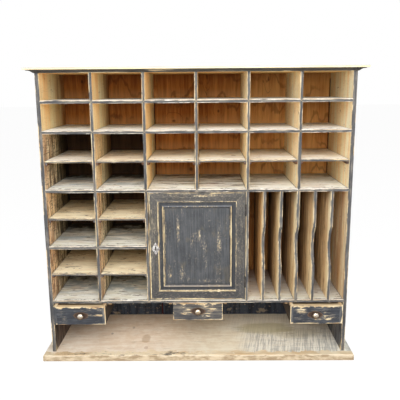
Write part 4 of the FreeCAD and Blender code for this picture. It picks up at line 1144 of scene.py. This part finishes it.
# Pins of the escutcheon, in millimetres: their profile, and where they are from its middle
PIN_DOME = ((1.1, 0), (1.05, 0.25), (0.7, 0.55), (0, 0.65))
PIN_PLACES = ((0, 19), (0, -19), (9.5, 0), (-9.5, 0))
PIN_SIDES = 16


def add_escutcheon_pins(material):
    """Four small domed pins that hold the escutcheon."""
    low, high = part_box("escutcheon")
    middle = ((low.x + high.x) / 2, (low.z + high.z) / 2)

    def make(work):
        for across, up in PIN_PLACES:
            place = (middle[0] + across * MM, low.y, middle[1] + up * MM)
            lathe(work, PIN_DOME, place, PIN_SIDES)
            bmesh.ops.holes_fill(work, edges=[edge for edge in work.edges if edge.is_boundary])
    piece = build("escutcheon_pins", make, material)
    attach(piece, "door")


# ---- stage, light and camera
FLOOR_REACH = 30


def stage_floor():
    """A pale floor that keeps the object's shadow and meets the white background."""
    r = FLOOR_REACH
    mesh = bpy.data.meshes.new("floor")
    mesh.from_pydata([(-r, -r, 0), (r, -r, 0), (r, r, 0), (-r, r, 0)], [], [(0, 1, 2, 3)])
    floor = add_object("floor", mesh)
    material = bpy.data.materials.new("floor_white")
    t = Nodes(material)
    matt = t.node("BsdfDiffuse", {"Color": (0.86, 0.86, 0.86, 1)})
    glow = t.node("Emission", {"Color": linear(WHITE), "Strength": 1.1})
    share = t.node("LightPath", {}, "Is Camera Ray") * 0.86
    t.outputs("OutputMaterial", {0: t.node("MixShader", {0: share, 1: matt, 2: glow})})
    mesh.materials.append(material)


def world_light():
    """Soft grey light all round, and a white background where a ray sees it."""
    world = bpy.data.worlds.new("studio")
    bpy.context.scene.world = world
    t = Nodes(world)
    soft = t.node("Background", {"Color": linear(WHITE), "Strength": 0.22})
    white = t.node("Background", {"Color": linear(WHITE), "Strength": 1})
    path = t.outputs("LightPath", {})
    rays = ("Camera", "Glossy", "Transmission")
    camera, glossy, passing = (Value(t, path["Is %s Ray" % ray]) for ray in rays)
    seen = t.larger(t.larger(camera, glossy), passing)
    t.outputs("OutputWorld", {0: t.node("MixShader", {0: seen, 1: soft, 2: white})})


def soft_box(name, place, height, size, watts):
    """A square area lamp that points at the object's middle line, at a height."""
    lamp = bpy.data.lights.new(name, "AREA")
    lamp.size = size
    lamp.energy = watts
    made = add_object(name, lamp)
    made.location = place
    made.rotation_euler = (Vector((0, 0, height)) - Vector(place)).to_track_quat("-Z", "Y").to_euler()


def studio():
    """Soft boxes in front, at both sides and above, and light all round."""
    world_light()
    soft_box("front", (0.1, -3.5, 1.25), 0.6, 1.6, 23)
    soft_box("left", (-2, -3.6, 2.2), 0.55, 1.8, 60)
    soft_box("right", (2, -3.6, 2.2), 0.55, 1.8, 60)
    soft_box("high", (0, -4, 2.9), 0.6, 2, 94)
    soft_box("above", (0, -2.3, 3.1), 0.5, 1.6, 31)


FOCAL_PIXELS = 544.66  # focal length in pixels of a 400 x 400 picture
PICTURE = 400
SENSOR = 36
CAMERA_PLACE = (0.02767, -2.14577, 1.04476)
CAMERA_YAW = 0.00805
CAMERA_PITCH = 0.20381  # looking down
CAMERA_ROLL = 0.00778


def add_camera():
    """The camera, at the place and angle that fit the picture."""
    right = Vector((cos(CAMERA_YAW), sin(CAMERA_YAW), 0))
    ahead = Vector((-sin(CAMERA_YAW), cos(CAMERA_YAW), 0))
    down = Vector((0, 0, -1))
    view = ahead * cos(CAMERA_PITCH) + down * sin(CAMERA_PITCH)
    lower = down * cos(CAMERA_PITCH) - ahead * sin(CAMERA_PITCH)
    turned = right * cos(CAMERA_ROLL) + lower * sin(CAMERA_ROLL)
    lower = lower * cos(CAMERA_ROLL) - right * sin(CAMERA_ROLL)
    matrix = Matrix((turned, -lower, -view)).transposed().to_4x4()
    matrix.translation = CAMERA_PLACE
    data = bpy.data.cameras.new("camera")
    data.sensor_width = SENSOR
    data.lens = FOCAL_PIXELS / PICTURE * SENSOR
    camera = add_object("camera", data)
    camera.matrix_world = matrix
    bpy.context.scene.camera = camera


# ---- everything
dress_carcass()
dress_door()
dress_drawers()
dress_loose_shelves()
stage_floor()
studio()
add_camera()
bpy.context.scene.view_settings.view_transform = "Standard"


def corners(bounds):
    """Bounds as plain lists of numbers."""
    return [[round(float(value), 6) for value in corner] for corner in bounds]
